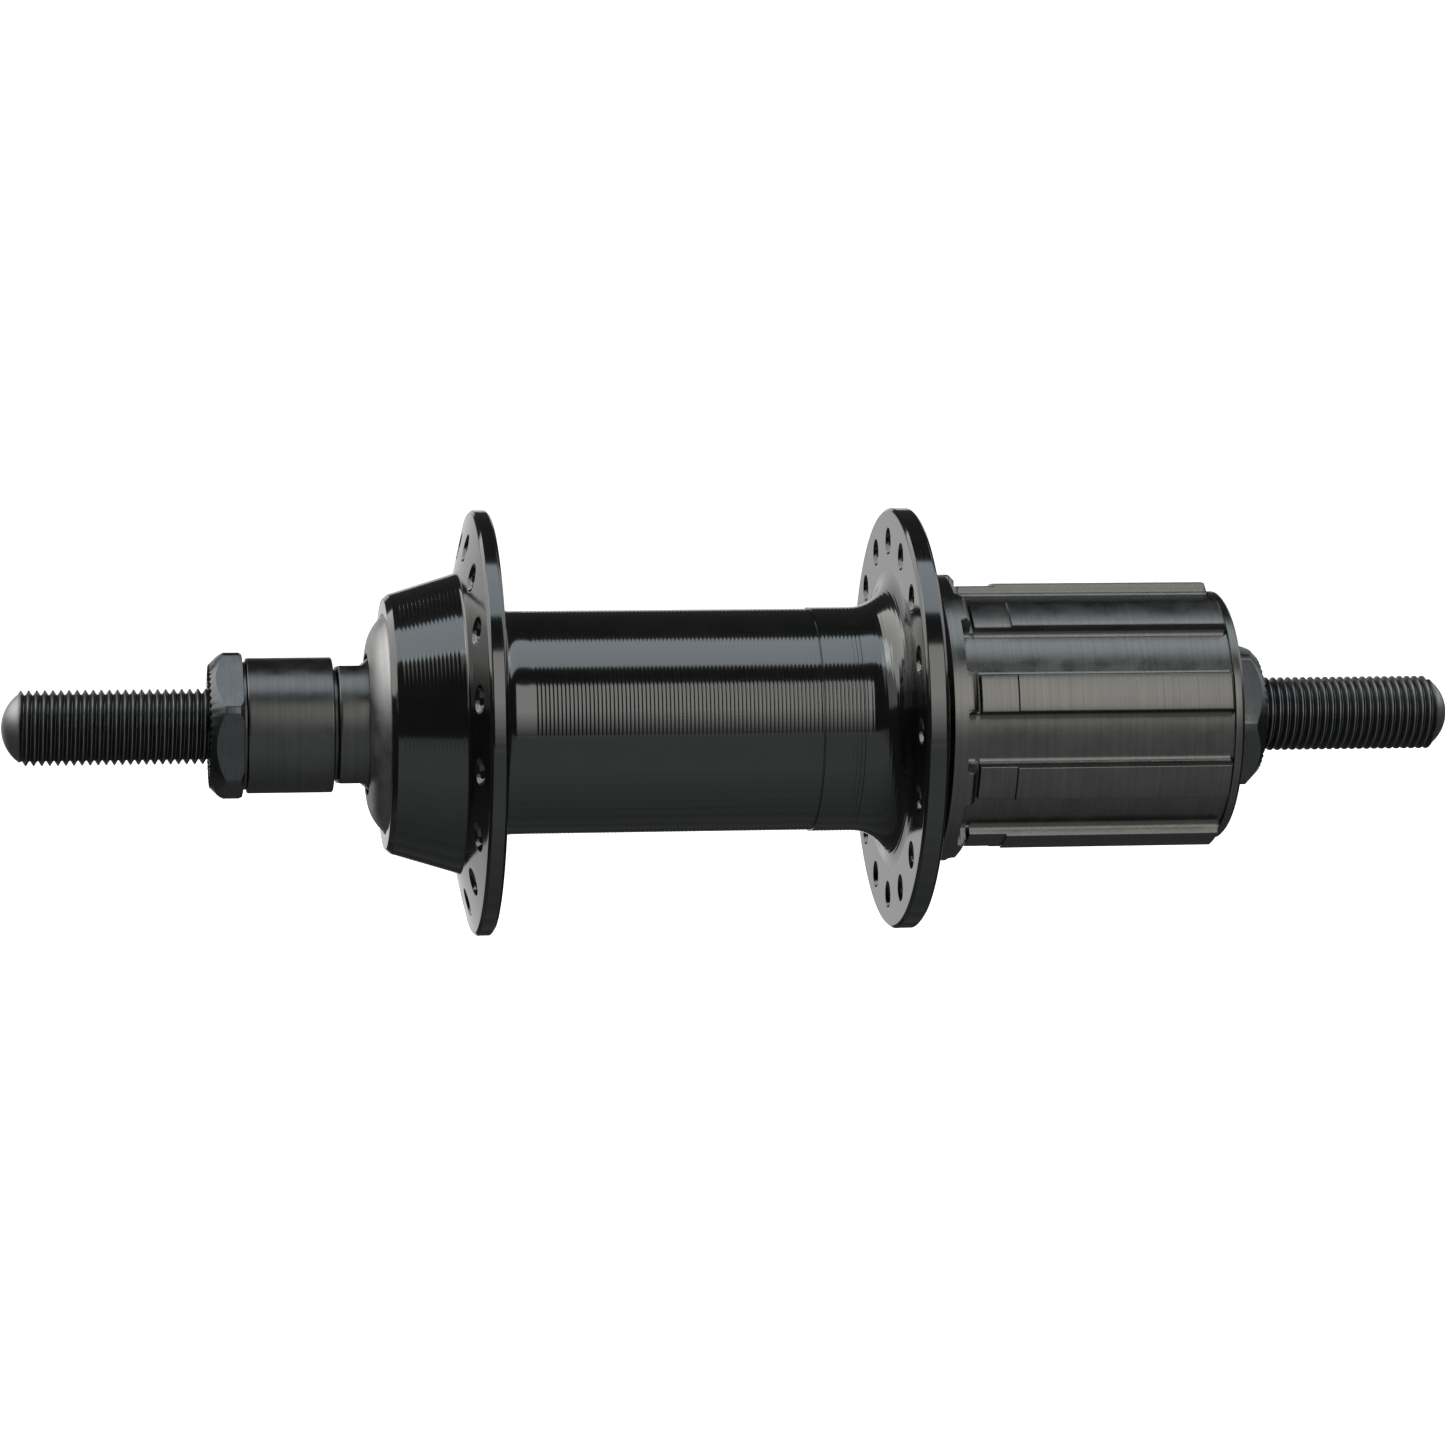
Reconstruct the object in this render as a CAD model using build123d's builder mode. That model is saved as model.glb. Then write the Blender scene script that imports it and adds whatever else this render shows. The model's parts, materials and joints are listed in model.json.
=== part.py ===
from build123d import *
from math import cos, radians, sin
import os

os.makedirs("parts", exist_ok=True)

# Rear bicycle hub with a cassette body, on a solid threaded axle.
#
# Frame: the axle runs along Y, the drive side (with the cassette body) is -Y, +Z is up and
# +X is forwards.  The origin is on the axle, halfway between the outer faces of the two
# locknuts.  A "station" is a distance along the axle from that origin, positive towards
# the drive side, so station s lies at Y = -s.  All lengths are in millimetres.

# ---------------------------------------------------------------- driving dimensions
# Axle and the stack of parts that is clamped on it
over_locknuts = 135.0
axle_length = 186.5
axle_radius = 4.75
axle_core_radius = 4.45
axle_end_radius = 4.2
axle_dome_height = 2.05
axle_chamfer = 0.4

nut_across_flats = 17.0
nut_corner_radius = 9.55
nut_thickness = 4.2
nut_face_radius = 7.7
nut_back_radius = 9.1
nut_bore_chamfer = 0.45
left_nut_turn = 48.0
right_nut_turn = 9.9

outer_washer_thickness = 0.45
outer_washer_radius = 8.05
spacer_length = 10.85
spacer_radius = 8.53
inner_washer_thickness = 0.55
inner_washer_radius = 7.0
right_washer_thickness = 0.9
right_washer_radius = 7.6
loose_bore = 4.85

# Hub bearings: nine quarter-inch balls a side
ball_radius = 3.175
ball_pitch = 9.6
ball_count = 9
left_ball_station = -41.5
right_ball_station = 57.6
race_gap = 0.05
race_middle_angle = 50.0

cone_radius = 8.5
cone_nose_radius = 6.3
cone_nose_length = 1.3
cone_flat_width = 14.8
cone_flat_length = 3.1

cup_radius = 13.9
cup_back_wall = 0.7
cup_mouth_station = -43.2

cap_edge_radius = 13.65
cap_hole_radius = 8.95
cap_thickness = 0.8

# Hub shell
rim_station = -45.5
shoulder_start_radius = 16.45
shoulder_end_radius = 19.1
shoulder_end_station = -36.2
flange_radius = 27.0
left_flange_station = -34.45
left_flange_thickness = 2.3
right_flange_station = 19.35
right_flange_thickness = 2.8
barrel_radius = 14.2
barrel_step_station = 8.85
barrel_step_radius = 14.35
shell_bore_radius = 11.0
shell_end_station = 23.2
shell_boss_radius = 15.0

spoke_count = 16
spoke_pitch_diameter = 45.5
spoke_hole_radius = 1.35
spoke_sink_radius = 1.75
left_spoke_phase = 15.25
right_spoke_phase = 4.0

# Cassette body
body_start = 24.0
body_end = 62.35
body_shoulder_radius = 18.4
body_shoulder_end = 27.7
body_radius = 15.6
end_ring_radius = 16.0
spline_count = 9
spline_crest_radius = 17.2
spline_relief_radius = 16.9
spline_start = 28.25
spline_relief_end = 33.0
spline_end = 60.6
spline_width = 4.7
index_spline_width = 6.0
spline_turn = 10.0
groove_start = 26.35
mouth_radius = 14.7

# Cassette body bearings: twenty-five eighth-inch balls a row
small_ball_radius = 1.5875
small_ball_pitch = 12.9
small_ball_count = 25
inboard_row_station = 30.0
outboard_row_station = 52.6

# Ratchet: saw teeth inside the cassette body and two sprung pawls on the inner body
ratchet_count = 16
ratchet_tip_radius = 12.5
ratchet_root_radius = 13.32
ratchet_ramp = 19.5
ratchet_turn = 12.0
ratchet_start = 32.6
ratchet_end = 39.4
pawl_start = 33.0
pawl_end = 39.0
pawl_pivot_radius = 10.4
pawl_pivot_turn = -20.0
pawl_barrel_radius = 1.3
pawl_tip_radius = 11.9
pawl_heel_radius = 10.3

# Inner body, which carries the cassette body, and the hollow bolt that holds it on
inner_start = 16.6
inner_end = 50.2
inner_spigot_radius = 9.95
inner_flange_radius = 12.9
inner_pawl_radius = 12.1
inner_tube_radius = 12.4
inner_thread_radius = 11.2
inner_thread_start = 45.5
inner_bore_radius = 8.2
key_count = 8
key_width = 2.4
key_radius = 10.8
bolt_seat_station = 43.0
bolt_washer_thickness = 0.8
bolt_head_radius = 9.3
bolt_head_height = 4.5
bolt_shank_radius = 8.1
bolt_shank_start = 12.0
bolt_hex = 10.2
bolt_hex_depth = 4.0
shim_thickness = 0.2
slip = 0.02

# ---------------------------------------------------------------- derived dimensions
half_length = axle_length / 2
nut_face = over_locknuts / 2
nut_back = nut_face - nut_thickness
left_spacer_start = -nut_back + outer_washer_thickness
left_spacer_end = left_spacer_start + spacer_length
left_cone_face = left_spacer_end + inner_washer_thickness
right_cone_face = nut_back - right_washer_thickness
left_flange_back = left_flange_station + left_flange_thickness
right_flange_back = right_flange_station + right_flange_thickness
race_radius = ball_radius + race_gap
small_race_radius = small_ball_radius + race_gap
bolt_head_start = bolt_seat_station + bolt_washer_thickness
bolt_end = bolt_head_start + bolt_head_height
cup_shoulder_start = inner_end + shim_thickness

# Profiles of turned parts are drawn in this plane: across is the station, up is the radius.
AXIAL = Plane(origin=(0, 0, 0), x_dir=(0, -1, 0), z_dir=(-1, 0, 0))


# ---------------------------------------------------------------- helpers
def across(station, facing=1):
    """Plane square to the axle, facing the drive side (1) or the other side (-1)."""
    return Plane(origin=(0, -station, 0), x_dir=(1, 0, 0), z_dir=(0, -facing, 0))


def polar(radius, turn):
    """Point at a radius and an angle in a plane square to the axle."""
    return (radius * cos(radians(turn)), radius * sin(radians(turn)))


def corner(sketch, station, radius):
    """The vertex of a profile that is nearest to a station and a radius."""
    return sketch.vertices().sort_by_distance((station, radius, 0))[0]


def ring(start, end, bore, rim):
    """Plain ring or washer between two stations."""
    with BuildPart() as made:
        with BuildSketch(across(start)):
            Circle(rim)
            Circle(bore, mode=Mode.SUBTRACT)
        extrude(amount=end - start)
    return made


def ball_row(station, pitch, radius, count):
    """Full row of bearing balls, as separate solids."""
    with BuildPart() as made:
        with Locations(across(station)):
            with PolarLocations(pitch, count):
                Sphere(radius)
    return made


# ---------------------------------------------------------------- axle
# The two ends that stand out of the locknuts have the full radius of the thread.  Between the
# locknuts the axle has the mid-height radius of the thread, where nuts and cones bear on it.
dome_base = half_length - axle_dome_height
thread_end = dome_base - axle_chamfer
dome_radius = (axle_end_radius**2 + axle_dome_height**2) / (2 * axle_dome_height)
with BuildPart() as axle:
    with BuildSketch(AXIAL):
        with BuildLine():
            Polyline(
                (-dome_base, axle_end_radius),
                (-thread_end, axle_radius),
                (-nut_face, axle_radius),
                (-nut_face, axle_core_radius),
                (nut_face, axle_core_radius),
                (nut_face, axle_radius),
                (thread_end, axle_radius),
                (dome_base, axle_end_radius),
            )
            RadiusArc((dome_base, axle_end_radius), (half_length, 0), dome_radius)
            Line((half_length, 0), (-half_length, 0))
            RadiusArc((-half_length, 0), (-dome_base, axle_end_radius), dome_radius)
        make_face()
    revolve(axis=Axis.Y)
axle.part.label = "axle"
export_step(axle.part, "parts/axle.step")


# ---------------------------------------------------------------- locknuts
def locknut(side, turn):
    """Hexagon locknut; side is -1 on the left and 1 on the drive side."""
    long_chamfer = nut_corner_radius - nut_face_radius
    short_chamfer = nut_corner_radius - nut_back_radius
    with BuildPart() as made:
        with BuildSketch(across(side * nut_back, side)):
            RegularPolygon(nut_across_flats / 2, 6, major_radius=False, rotation=side * turn)
            Circle(axle_core_radius, mode=Mode.SUBTRACT)
        extrude(amount=nut_thickness)
        with BuildSketch(AXIAL):
            with BuildLine():
                Polyline(
                    (side * nut_back, 0),
                    (side * nut_back, nut_back_radius),
                    (side * (nut_back + short_chamfer), nut_corner_radius),
                    (side * (nut_face - long_chamfer), nut_corner_radius),
                    (side * nut_face, nut_face_radius),
                    (side * nut_face, 0),
                    close=True,
                )
            make_face()
        revolve(axis=Axis.Y, mode=Mode.INTERSECT)
        outer_face = made.faces().sort_by(Axis.Y)[0 if side > 0 else -1]
        chamfer(outer_face.inner_wires()[0].edges(), nut_bore_chamfer)
    return made


left_locknut = locknut(-1, left_nut_turn)
left_locknut.part.label = "left_locknut"
export_step(left_locknut.part, "parts/left_locknut.step")

right_locknut = locknut(1, right_nut_turn)
right_locknut.part.label = "right_locknut"
export_step(right_locknut.part, "parts/right_locknut.step")

# ---------------------------------------------------------------- washers and spacer
left_outer_washer = ring(-nut_back, left_spacer_start, loose_bore, outer_washer_radius)
left_outer_washer.part.label = "left_outer_washer"
export_step(left_outer_washer.part, "parts/left_outer_washer.step")

left_inner_washer = ring(left_spacer_end, left_cone_face, loose_bore, inner_washer_radius)
left_inner_washer.part.label = "left_inner_washer"
export_step(left_inner_washer.part, "parts/left_inner_washer.step")

right_washer = ring(right_cone_face, nut_back, loose_bore, right_washer_radius)
right_washer.part.label = "right_washer"
export_step(right_washer.part, "parts/right_washer.step")

spacer_chamfer = 0.25
with BuildPart() as left_spacer:
    with BuildSketch(across(left_spacer_start)):
        Circle(spacer_radius)
        Circle(loose_bore, mode=Mode.SUBTRACT)
    extrude(amount=spacer_length)
    outer_rims = left_spacer.edges().filter_by(GeomType.CIRCLE).sort_by(SortBy.RADIUS)[-2:]
    chamfer(outer_rims, spacer_chamfer)
left_spacer.part.label = "left_spacer"
export_step(left_spacer.part, "parts/left_spacer.step")

# ---------------------------------------------------------------- bearing cones
cone_chamfer = 0.3
cone_lip_angle = 20.0


def bearing_cone(side, ball_station, face_station):
    """Threaded cone whose race faces the middle of the hub."""
    lip_reach = side * race_radius * cos(radians(cone_lip_angle))
    lip_radius = ball_pitch - race_radius * sin(radians(cone_lip_angle))
    nose = ball_station - side * cone_nose_length
    with BuildPart() as made:
        with BuildSketch(AXIAL):
            with BuildLine():
                race = ThreePointArc(
                    (ball_station, ball_pitch - race_radius),
                    (
                        ball_station + side * race_radius * cos(radians(race_middle_angle)),
                        ball_pitch - race_radius * sin(radians(race_middle_angle)),
                    ),
                    (ball_station + lip_reach, lip_radius),
                )
                Polyline(
                    race @ 1,
                    (face_station - side * cone_chamfer, cone_radius),
                    (face_station, cone_radius - cone_chamfer),
                    (face_station, axle_core_radius),
                    (nose, axle_core_radius),
                    (nose, cone_nose_radius - cone_chamfer),
                    (nose + side * cone_chamfer, cone_nose_radius),
                    (ball_station, cone_nose_radius),
                    race @ 0,
                )
            make_face()
        revolve(axis=Axis.Y)
    return made


flat_end = left_cone_face + cone_flat_length
flat_run_out = cone_radius - cone_flat_width / 2
with BuildPart() as left_cone:
    add(bearing_cone(-1, left_ball_station, left_cone_face).part)
    # Two spanner flats, above and below, that run out at 45 degrees towards the race
    with BuildSketch(AXIAL):
        with BuildLine():
            Polyline(
                (left_cone_face - 1, cone_flat_width / 2),
                (flat_end, cone_flat_width / 2),
                (flat_end + flat_run_out, cone_radius),
                (flat_end + flat_run_out, cone_radius + 1),
                (left_cone_face - 1, cone_radius + 1),
                close=True,
            )
        make_face()
        mirror(about=Plane.XZ)
    extrude(amount=cone_radius, both=True, mode=Mode.SUBTRACT)
left_cone.part.label = "left_cone"
export_step(left_cone.part, "parts/left_cone.step")

right_cone = bearing_cone(1, right_ball_station, right_cone_face)
right_cone.part.label = "right_cone"
export_step(right_cone.part, "parts/right_cone.step")

# Rubber ring on the left cone, whose lip closes the gap behind the dust cap
seal_start = -46.4
seal_end = -45.0
seal_lip_radius = 10.9
seal_body_radius = cone_radius + 0.8
seal_lip_start = seal_end - 0.7
seal_lip_end = seal_end - 0.2
with BuildPart() as left_cone_seal:
    with BuildSketch(AXIAL):
        with BuildLine():
            Polyline(
                (seal_start, cone_radius),
                (seal_start, seal_body_radius),
                (seal_lip_start, seal_lip_radius),
                (seal_lip_end, seal_lip_radius),
                (seal_end, seal_body_radius),
                (seal_end, cone_radius),
                close=True,
            )
        make_face()
    revolve(axis=Axis.Y)
left_cone_seal.part.label = "left_cone_seal"
export_step(left_cone_seal.part, "parts/left_cone_seal.step")

# ---------------------------------------------------------------- bearing balls
left_balls = ball_row(left_ball_station, ball_pitch, ball_radius, ball_count)
left_balls.part.label = "left_balls"
export_step(left_balls.part, "parts/left_balls.step")

right_balls = ball_row(right_ball_station, ball_pitch, ball_radius, ball_count)
right_balls.part.label = "right_balls"
export_step(right_balls.part, "parts/right_balls.step")

inboard_balls = ball_row(
    inboard_row_station, small_ball_pitch, small_ball_radius, small_ball_count
)
inboard_balls.part.label = "freehub_inboard_balls"
export_step(inboard_balls.part, "parts/freehub_inboard_balls.step")

outboard_balls = ball_row(
    outboard_row_station, small_ball_pitch, small_ball_radius, small_ball_count
)
outboard_balls.part.label = "freehub_outboard_balls"
export_step(outboard_balls.part, "parts/freehub_outboard_balls.step")

# ---------------------------------------------------------------- left cup and dust cap
cup_lip_angle = 10.0
cup_lip_reach = race_radius * cos(radians(cup_lip_angle))
cup_lip_radius = ball_pitch + race_radius * sin(radians(cup_lip_angle))
cup_back_station = left_ball_station + cup_lip_reach + cup_back_wall
with BuildPart() as left_bearing_cup:
    with BuildSketch(AXIAL):
        with BuildLine():
            race = ThreePointArc(
                (left_ball_station, ball_pitch + race_radius),
                (
                    left_ball_station + race_radius * cos(radians(race_middle_angle)),
                    ball_pitch + race_radius * sin(radians(race_middle_angle)),
                ),
                (left_ball_station + cup_lip_reach, cup_lip_radius),
            )
            Polyline(
                race @ 1,
                (cup_back_station, cup_lip_radius),
                (cup_back_station, cup_radius),
                (cup_mouth_station, cup_radius),
                (cup_mouth_station, ball_pitch + race_radius),
                race @ 0,
            )
        make_face()
    revolve(axis=Axis.Y)
left_bearing_cup.part.label = "left_bearing_cup"
export_step(left_bearing_cup.part, "parts/left_bearing_cup.step")

cap_top_station = -47.65
cap_bulge_station = -46.75
cap_bulge_radius = 11.95
cap_edge_station = rim_station - 0.1
cap_seat_station = rim_station + 0.15
cap_inside_station = rim_station + 0.4
cap_skirt_end = -43.4
with BuildPart() as left_dust_cap:
    with BuildSketch(AXIAL):
        with BuildLine():
            dome = ThreePointArc(
                (cap_top_station, cap_hole_radius),
                (cap_bulge_station, cap_bulge_radius),
                (cap_edge_station, cap_edge_radius),
            )
            under_side = ThreePointArc(
                (cap_top_station + cap_thickness, cap_hole_radius),
                (cap_bulge_station + cap_thickness, cap_bulge_radius - cap_thickness / 2),
                (cap_inside_station, cup_radius - cap_thickness),
            )
            Polyline(
                dome @ 1,
                (cap_seat_station, cup_radius),
                (cap_skirt_end, cup_radius),
                (cap_skirt_end, cup_radius - cap_thickness),
                under_side @ 1,
            )
            Line(under_side @ 0, dome @ 0)
        make_face()
    revolve(axis=Axis.Y)
left_dust_cap.part.label = "left_dust_cap"
export_step(left_dust_cap.part, "parts/left_dust_cap.step")

# ---------------------------------------------------------------- hub shell
rim_chamfer = 0.7
rim_face_radius = 15.85
flange_face_radius = 26.6
flange_face_chamfer = 0.4
flange_back_chamfer = 0.4
shoulder_root_fillet = 1.0
barrel_fillet = 2.8
flare_radius = 5.0
boss_fillet = 0.7
socket_depth_station = 16.5
socket_radius = inner_spigot_radius + slip
bolt_thread_radius = bolt_shank_radius + slip
bolt_thread_start = 11.5
groove_width = 0.3
groove_depth = 0.25


def key_profile(spigot, key_reach, extra):
    """Round spigot with keys around it; extra widens it all round for the socket."""
    Circle(spigot + extra)
    with PolarLocations(spigot, key_count):
        Rectangle(2 * key_width, key_width + 2 * extra)
    Circle(key_reach + extra, mode=Mode.INTERSECT)


# The left flange's outer face slopes from the shoulder out to the rim
slope = (left_flange_station - shoulder_end_station) / (flange_face_radius - shoulder_end_radius)
left_hole_station = left_flange_station - slope * (flange_face_radius - spoke_pitch_diameter / 2)
left_sink_lift = 0.45


def drill_spokes(face_station, facing, phase, thickness, lift=0):
    """Countersinks one side of a flange, starting a little above it, and drills its spoke holes."""
    with Locations(across(face_station + facing * lift, facing)):
        with PolarLocations(spoke_pitch_diameter / 2, spoke_count, start_angle=facing * phase):
            CounterSinkHole(
                spoke_hole_radius,
                spoke_sink_radius + lift,
                depth=thickness + lift,
                counter_sink_angle=90,
            )


with BuildPart() as hub_shell:
    with BuildSketch(AXIAL) as shell_profile:
        with BuildLine():
            Polyline(
                (rim_station, cup_radius),
                (rim_station, rim_face_radius),
                (rim_station + rim_chamfer, shoulder_start_radius),
                (shoulder_end_station, shoulder_end_radius),
                (left_flange_station, flange_face_radius),
                (left_flange_station + flange_face_chamfer, flange_radius),
                (left_flange_back - flange_back_chamfer, flange_radius),
                (left_flange_back, flange_radius - flange_back_chamfer),
                (left_flange_back, barrel_radius),
                (barrel_step_station - groove_width, barrel_radius),
                (barrel_step_station - groove_width / 2, barrel_radius - groove_depth),
                (barrel_step_station, barrel_step_radius),
                (right_flange_station, barrel_step_radius),
                (right_flange_station, flange_face_radius),
                (right_flange_station + flange_face_chamfer, flange_radius),
                (right_flange_back - flange_back_chamfer, flange_radius),
                (right_flange_back, flange_radius - flange_back_chamfer),
                (right_flange_back, shell_boss_radius),
                (shell_end_station, shell_boss_radius),
                (shell_end_station, bolt_thread_radius),
                (bolt_thread_start, bolt_thread_radius),
                (bolt_thread_start, shell_bore_radius),
                (cup_back_station, shell_bore_radius),
                (cup_back_station, cup_radius),
                close=True,
            )
        make_face()
        fillet(corner(shell_profile, shoulder_end_station, shoulder_end_radius), shoulder_root_fillet)
        fillet(corner(shell_profile, left_flange_back, barrel_radius), barrel_fillet)
        fillet(corner(shell_profile, right_flange_station, barrel_step_radius), flare_radius)
        fillet(corner(shell_profile, right_flange_back, shell_boss_radius), boss_fillet)
    revolve(axis=Axis.Y)
    # Keyed socket that takes the end of the inner body
    with BuildSketch(across(socket_depth_station)):
        key_profile(inner_spigot_radius, key_radius, slip)
    extrude(amount=shell_end_station - socket_depth_station, mode=Mode.SUBTRACT)
    drill_spokes(
        left_hole_station, -1, left_spoke_phase, left_flange_thickness, lift=left_sink_lift
    )
    drill_spokes(left_flange_back, 1, left_spoke_phase, left_flange_thickness)
    drill_spokes(right_flange_station, -1, right_spoke_phase, right_flange_thickness)
    drill_spokes(right_flange_back, 1, right_spoke_phase, right_flange_thickness)
hub_shell.part.label = "hub_shell"
export_step(hub_shell.part, "parts/hub_shell.step")

# ---------------------------------------------------------------- pawls
pawl_length = pawl_end - pawl_start
pocket_edge = 13.5
pocket_play = 0.35
pocket_back_turn = pawl_pivot_turn - 5
pocket_front_turn = ratchet_turn + 6
pocket_floor_turn = ratchet_turn + 4
seat_radius = pawl_barrel_radius + race_gap
fork_start = 35.3
fork_end = 36.7
fork_root_radius = 10.75
fork_reach = 1.9


def pawl_frame(turn):
    """Pivot, tip and heel of a folded pawl, and its directions along and outwards."""
    pivot = Vector(*polar(pawl_pivot_radius, turn + pawl_pivot_turn))
    tip = Vector(*polar(pawl_tip_radius, turn + ratchet_turn))
    heel = Vector(*polar(pawl_heel_radius, turn + ratchet_turn - 1))
    along = (tip - pivot).normalized()
    return pivot, tip, heel, along, Vector(along.Y, -along.X)


def pawl(turn):
    """Folded pawl, forked so that the ring spring passes between its two prongs."""
    pivot, tip, heel, along, outward = pawl_frame(turn)
    barrel_side = outward * pawl_barrel_radius
    prong_root = pivot + along * fork_reach
    with BuildPart() as made:
        with BuildSketch(across(pawl_start)):
            with Locations(pivot):
                Circle(pawl_barrel_radius)
            with BuildLine():
                Polyline(pivot + barrel_side, tip, heel, pivot - barrel_side, close=True)
            make_face()
        extrude(amount=pawl_length)
        with BuildSketch(across(fork_start)):
            Circle(pocket_edge)
            Circle(fork_root_radius, mode=Mode.SUBTRACT)
            with BuildLine():
                Polyline(
                    prong_root - outward * pawl_length,
                    prong_root + outward * pawl_length,
                    prong_root + outward * pawl_length + along * pawl_length,
                    prong_root - outward * pawl_length + along * pawl_length,
                    close=True,
                )
            make_face()
        extrude(amount=fork_end - fork_start, mode=Mode.SUBTRACT)
    return made


def pawl_pocket(turn):
    """Outline of the seat that a pawl turns in and of the pocket that it folds into."""
    pivot, tip, heel, along, outward = pawl_frame(turn)
    with Locations(pivot):
        Circle(seat_radius)
    Polygon(
        pivot - along * seat_radius + outward * pocket_play,
        polar(pocket_edge, turn + pocket_back_turn),
        polar(pocket_edge, turn + pocket_front_turn),
        polar(pawl_heel_radius - pocket_play, turn + pocket_floor_turn),
        pivot - outward * (seat_radius + pocket_play / 3),
        align=None,
    )


for pawl_name, pawl_turn in (("pawl_a", 0), ("pawl_b", 180)):
    one_pawl = pawl(pawl_turn)
    one_pawl.part.label = pawl_name
    export_step(one_pawl.part, f"parts/{pawl_name}.step")

# Ring spring of round wire, open at one place, that presses both pawls outwards
spring_station = (fork_start + fork_end) / 2
spring_wire_radius = 0.25
spring_ring_radius = 11.75
spring_sweep = 335
with BuildPart() as pawl_spring:
    with BuildSketch(AXIAL):
        with Locations((spring_station, spring_ring_radius)):
            Circle(spring_wire_radius)
    revolve(axis=Axis.Y, revolution_arc=spring_sweep)
pawl_spring.part.label = "pawl_spring"
export_step(pawl_spring.part, "parts/pawl_spring.step")

# ---------------------------------------------------------------- inner body
small_lip_angle = 20.0
small_lip_reach = small_race_radius * cos(radians(small_lip_angle))
small_lip_radius = small_ball_pitch - small_race_radius * sin(radians(small_lip_angle))
small_race_bottom = small_ball_pitch - small_race_radius
spring_groove_width = 0.8
spring_groove_radius = spring_ring_radius - spring_wire_radius - slip
inner_flange_end = inboard_row_station - small_lip_reach - 0.25
pawl_zone_start = 31.8
pawl_zone_end = 40.2
head_room_radius = bolt_head_radius + 0.3


def cone_race(row_station, side):
    """Arc of a small-ball race on the inner parts, closed on the given side."""
    return ThreePointArc(
        (row_station, small_race_bottom),
        (
            row_station + side * small_race_radius * cos(radians(race_middle_angle)),
            small_ball_pitch - small_race_radius * sin(radians(race_middle_angle)),
        ),
        (row_station + side * small_lip_reach, small_lip_radius),
    )


with BuildPart() as freehub_inner_body:
    with BuildSketch(AXIAL):
        with BuildLine():
            race = cone_race(inboard_row_station, -1)
            Polyline(
                race @ 1,
                (inner_flange_end, small_lip_radius),
                (inner_flange_end, inner_flange_radius),
                (shell_end_station, inner_flange_radius),
                (shell_end_station, inner_bore_radius),
                (bolt_seat_station, inner_bore_radius),
                (bolt_seat_station, head_room_radius),
                (inner_thread_start, head_room_radius),
                (inner_thread_start, inner_thread_radius),
                (inner_end, inner_thread_radius),
                (inner_end, inner_tube_radius),
                (pawl_zone_end, inner_tube_radius),
                (pawl_zone_end, inner_pawl_radius),
                (pawl_zone_start, inner_pawl_radius),
                (pawl_zone_start, small_race_bottom),
                race @ 0,
            )
        make_face()
    revolve(axis=Axis.Y)
    # Keyed end that sits in the socket of the hub shell
    with BuildSketch(across(inner_start)):
        key_profile(inner_spigot_radius, key_radius, 0)
        Circle(inner_bore_radius, mode=Mode.SUBTRACT)
    extrude(amount=shell_end_station - inner_start)
    # Pockets for the two pawls, and the groove of the ring spring
    with BuildSketch(across(pawl_start - slip)):
        pawl_pocket(0)
        pawl_pocket(180)
    extrude(amount=pawl_length + 2 * slip, mode=Mode.SUBTRACT)
    with BuildSketch(across(spring_station - spring_groove_width / 2)):
        Circle(pocket_edge)
        Circle(spring_groove_radius, mode=Mode.SUBTRACT)
    extrude(amount=spring_groove_width, mode=Mode.SUBTRACT)
freehub_inner_body.part.label = "freehub_inner_body"
export_step(freehub_inner_body.part, "parts/freehub_inner_body.step")

# ---------------------------------------------------------------- bolt, washer and shim
bolt_bore_radius = 5.0
bolt_chamfer = 0.4
with BuildPart() as freehub_fixing_bolt:
    with BuildSketch(across(bolt_shank_start)):
        Circle(bolt_shank_radius)
    extrude(amount=bolt_head_start - bolt_shank_start)
    with BuildSketch(across(bolt_head_start)):
        Circle(bolt_head_radius)
    extrude(amount=bolt_head_height)
    head_rim = freehub_fixing_bolt.faces().sort_by(Axis.Y)[0].edges()
    chamfer(head_rim, bolt_chamfer)
    with BuildSketch(across(bolt_shank_start)):
        Circle(bolt_bore_radius)
    extrude(amount=bolt_end - bolt_shank_start, mode=Mode.SUBTRACT)
    # Hexagon socket for the fixing tool
    with BuildSketch(across(bolt_end - bolt_hex_depth)):
        RegularPolygon(bolt_hex / 2, 6, major_radius=False)
    extrude(amount=bolt_hex_depth, mode=Mode.SUBTRACT)
freehub_fixing_bolt.part.label = "freehub_fixing_bolt"
export_step(freehub_fixing_bolt.part, "parts/freehub_fixing_bolt.step")

freehub_bolt_washer = ring(
    bolt_seat_station, bolt_head_start, bolt_shank_radius + 0.15, bolt_head_radius
)
freehub_bolt_washer.part.label = "freehub_bolt_washer"
export_step(freehub_bolt_washer.part, "parts/freehub_bolt_washer.step")

shim_rim = 12.0
freehub_shim = ring(inner_end, cup_shoulder_start, inner_thread_radius + 0.1, shim_rim)
freehub_shim.part.label = "freehub_shim"
export_step(freehub_shim.part, "parts/freehub_shim.step")

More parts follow.
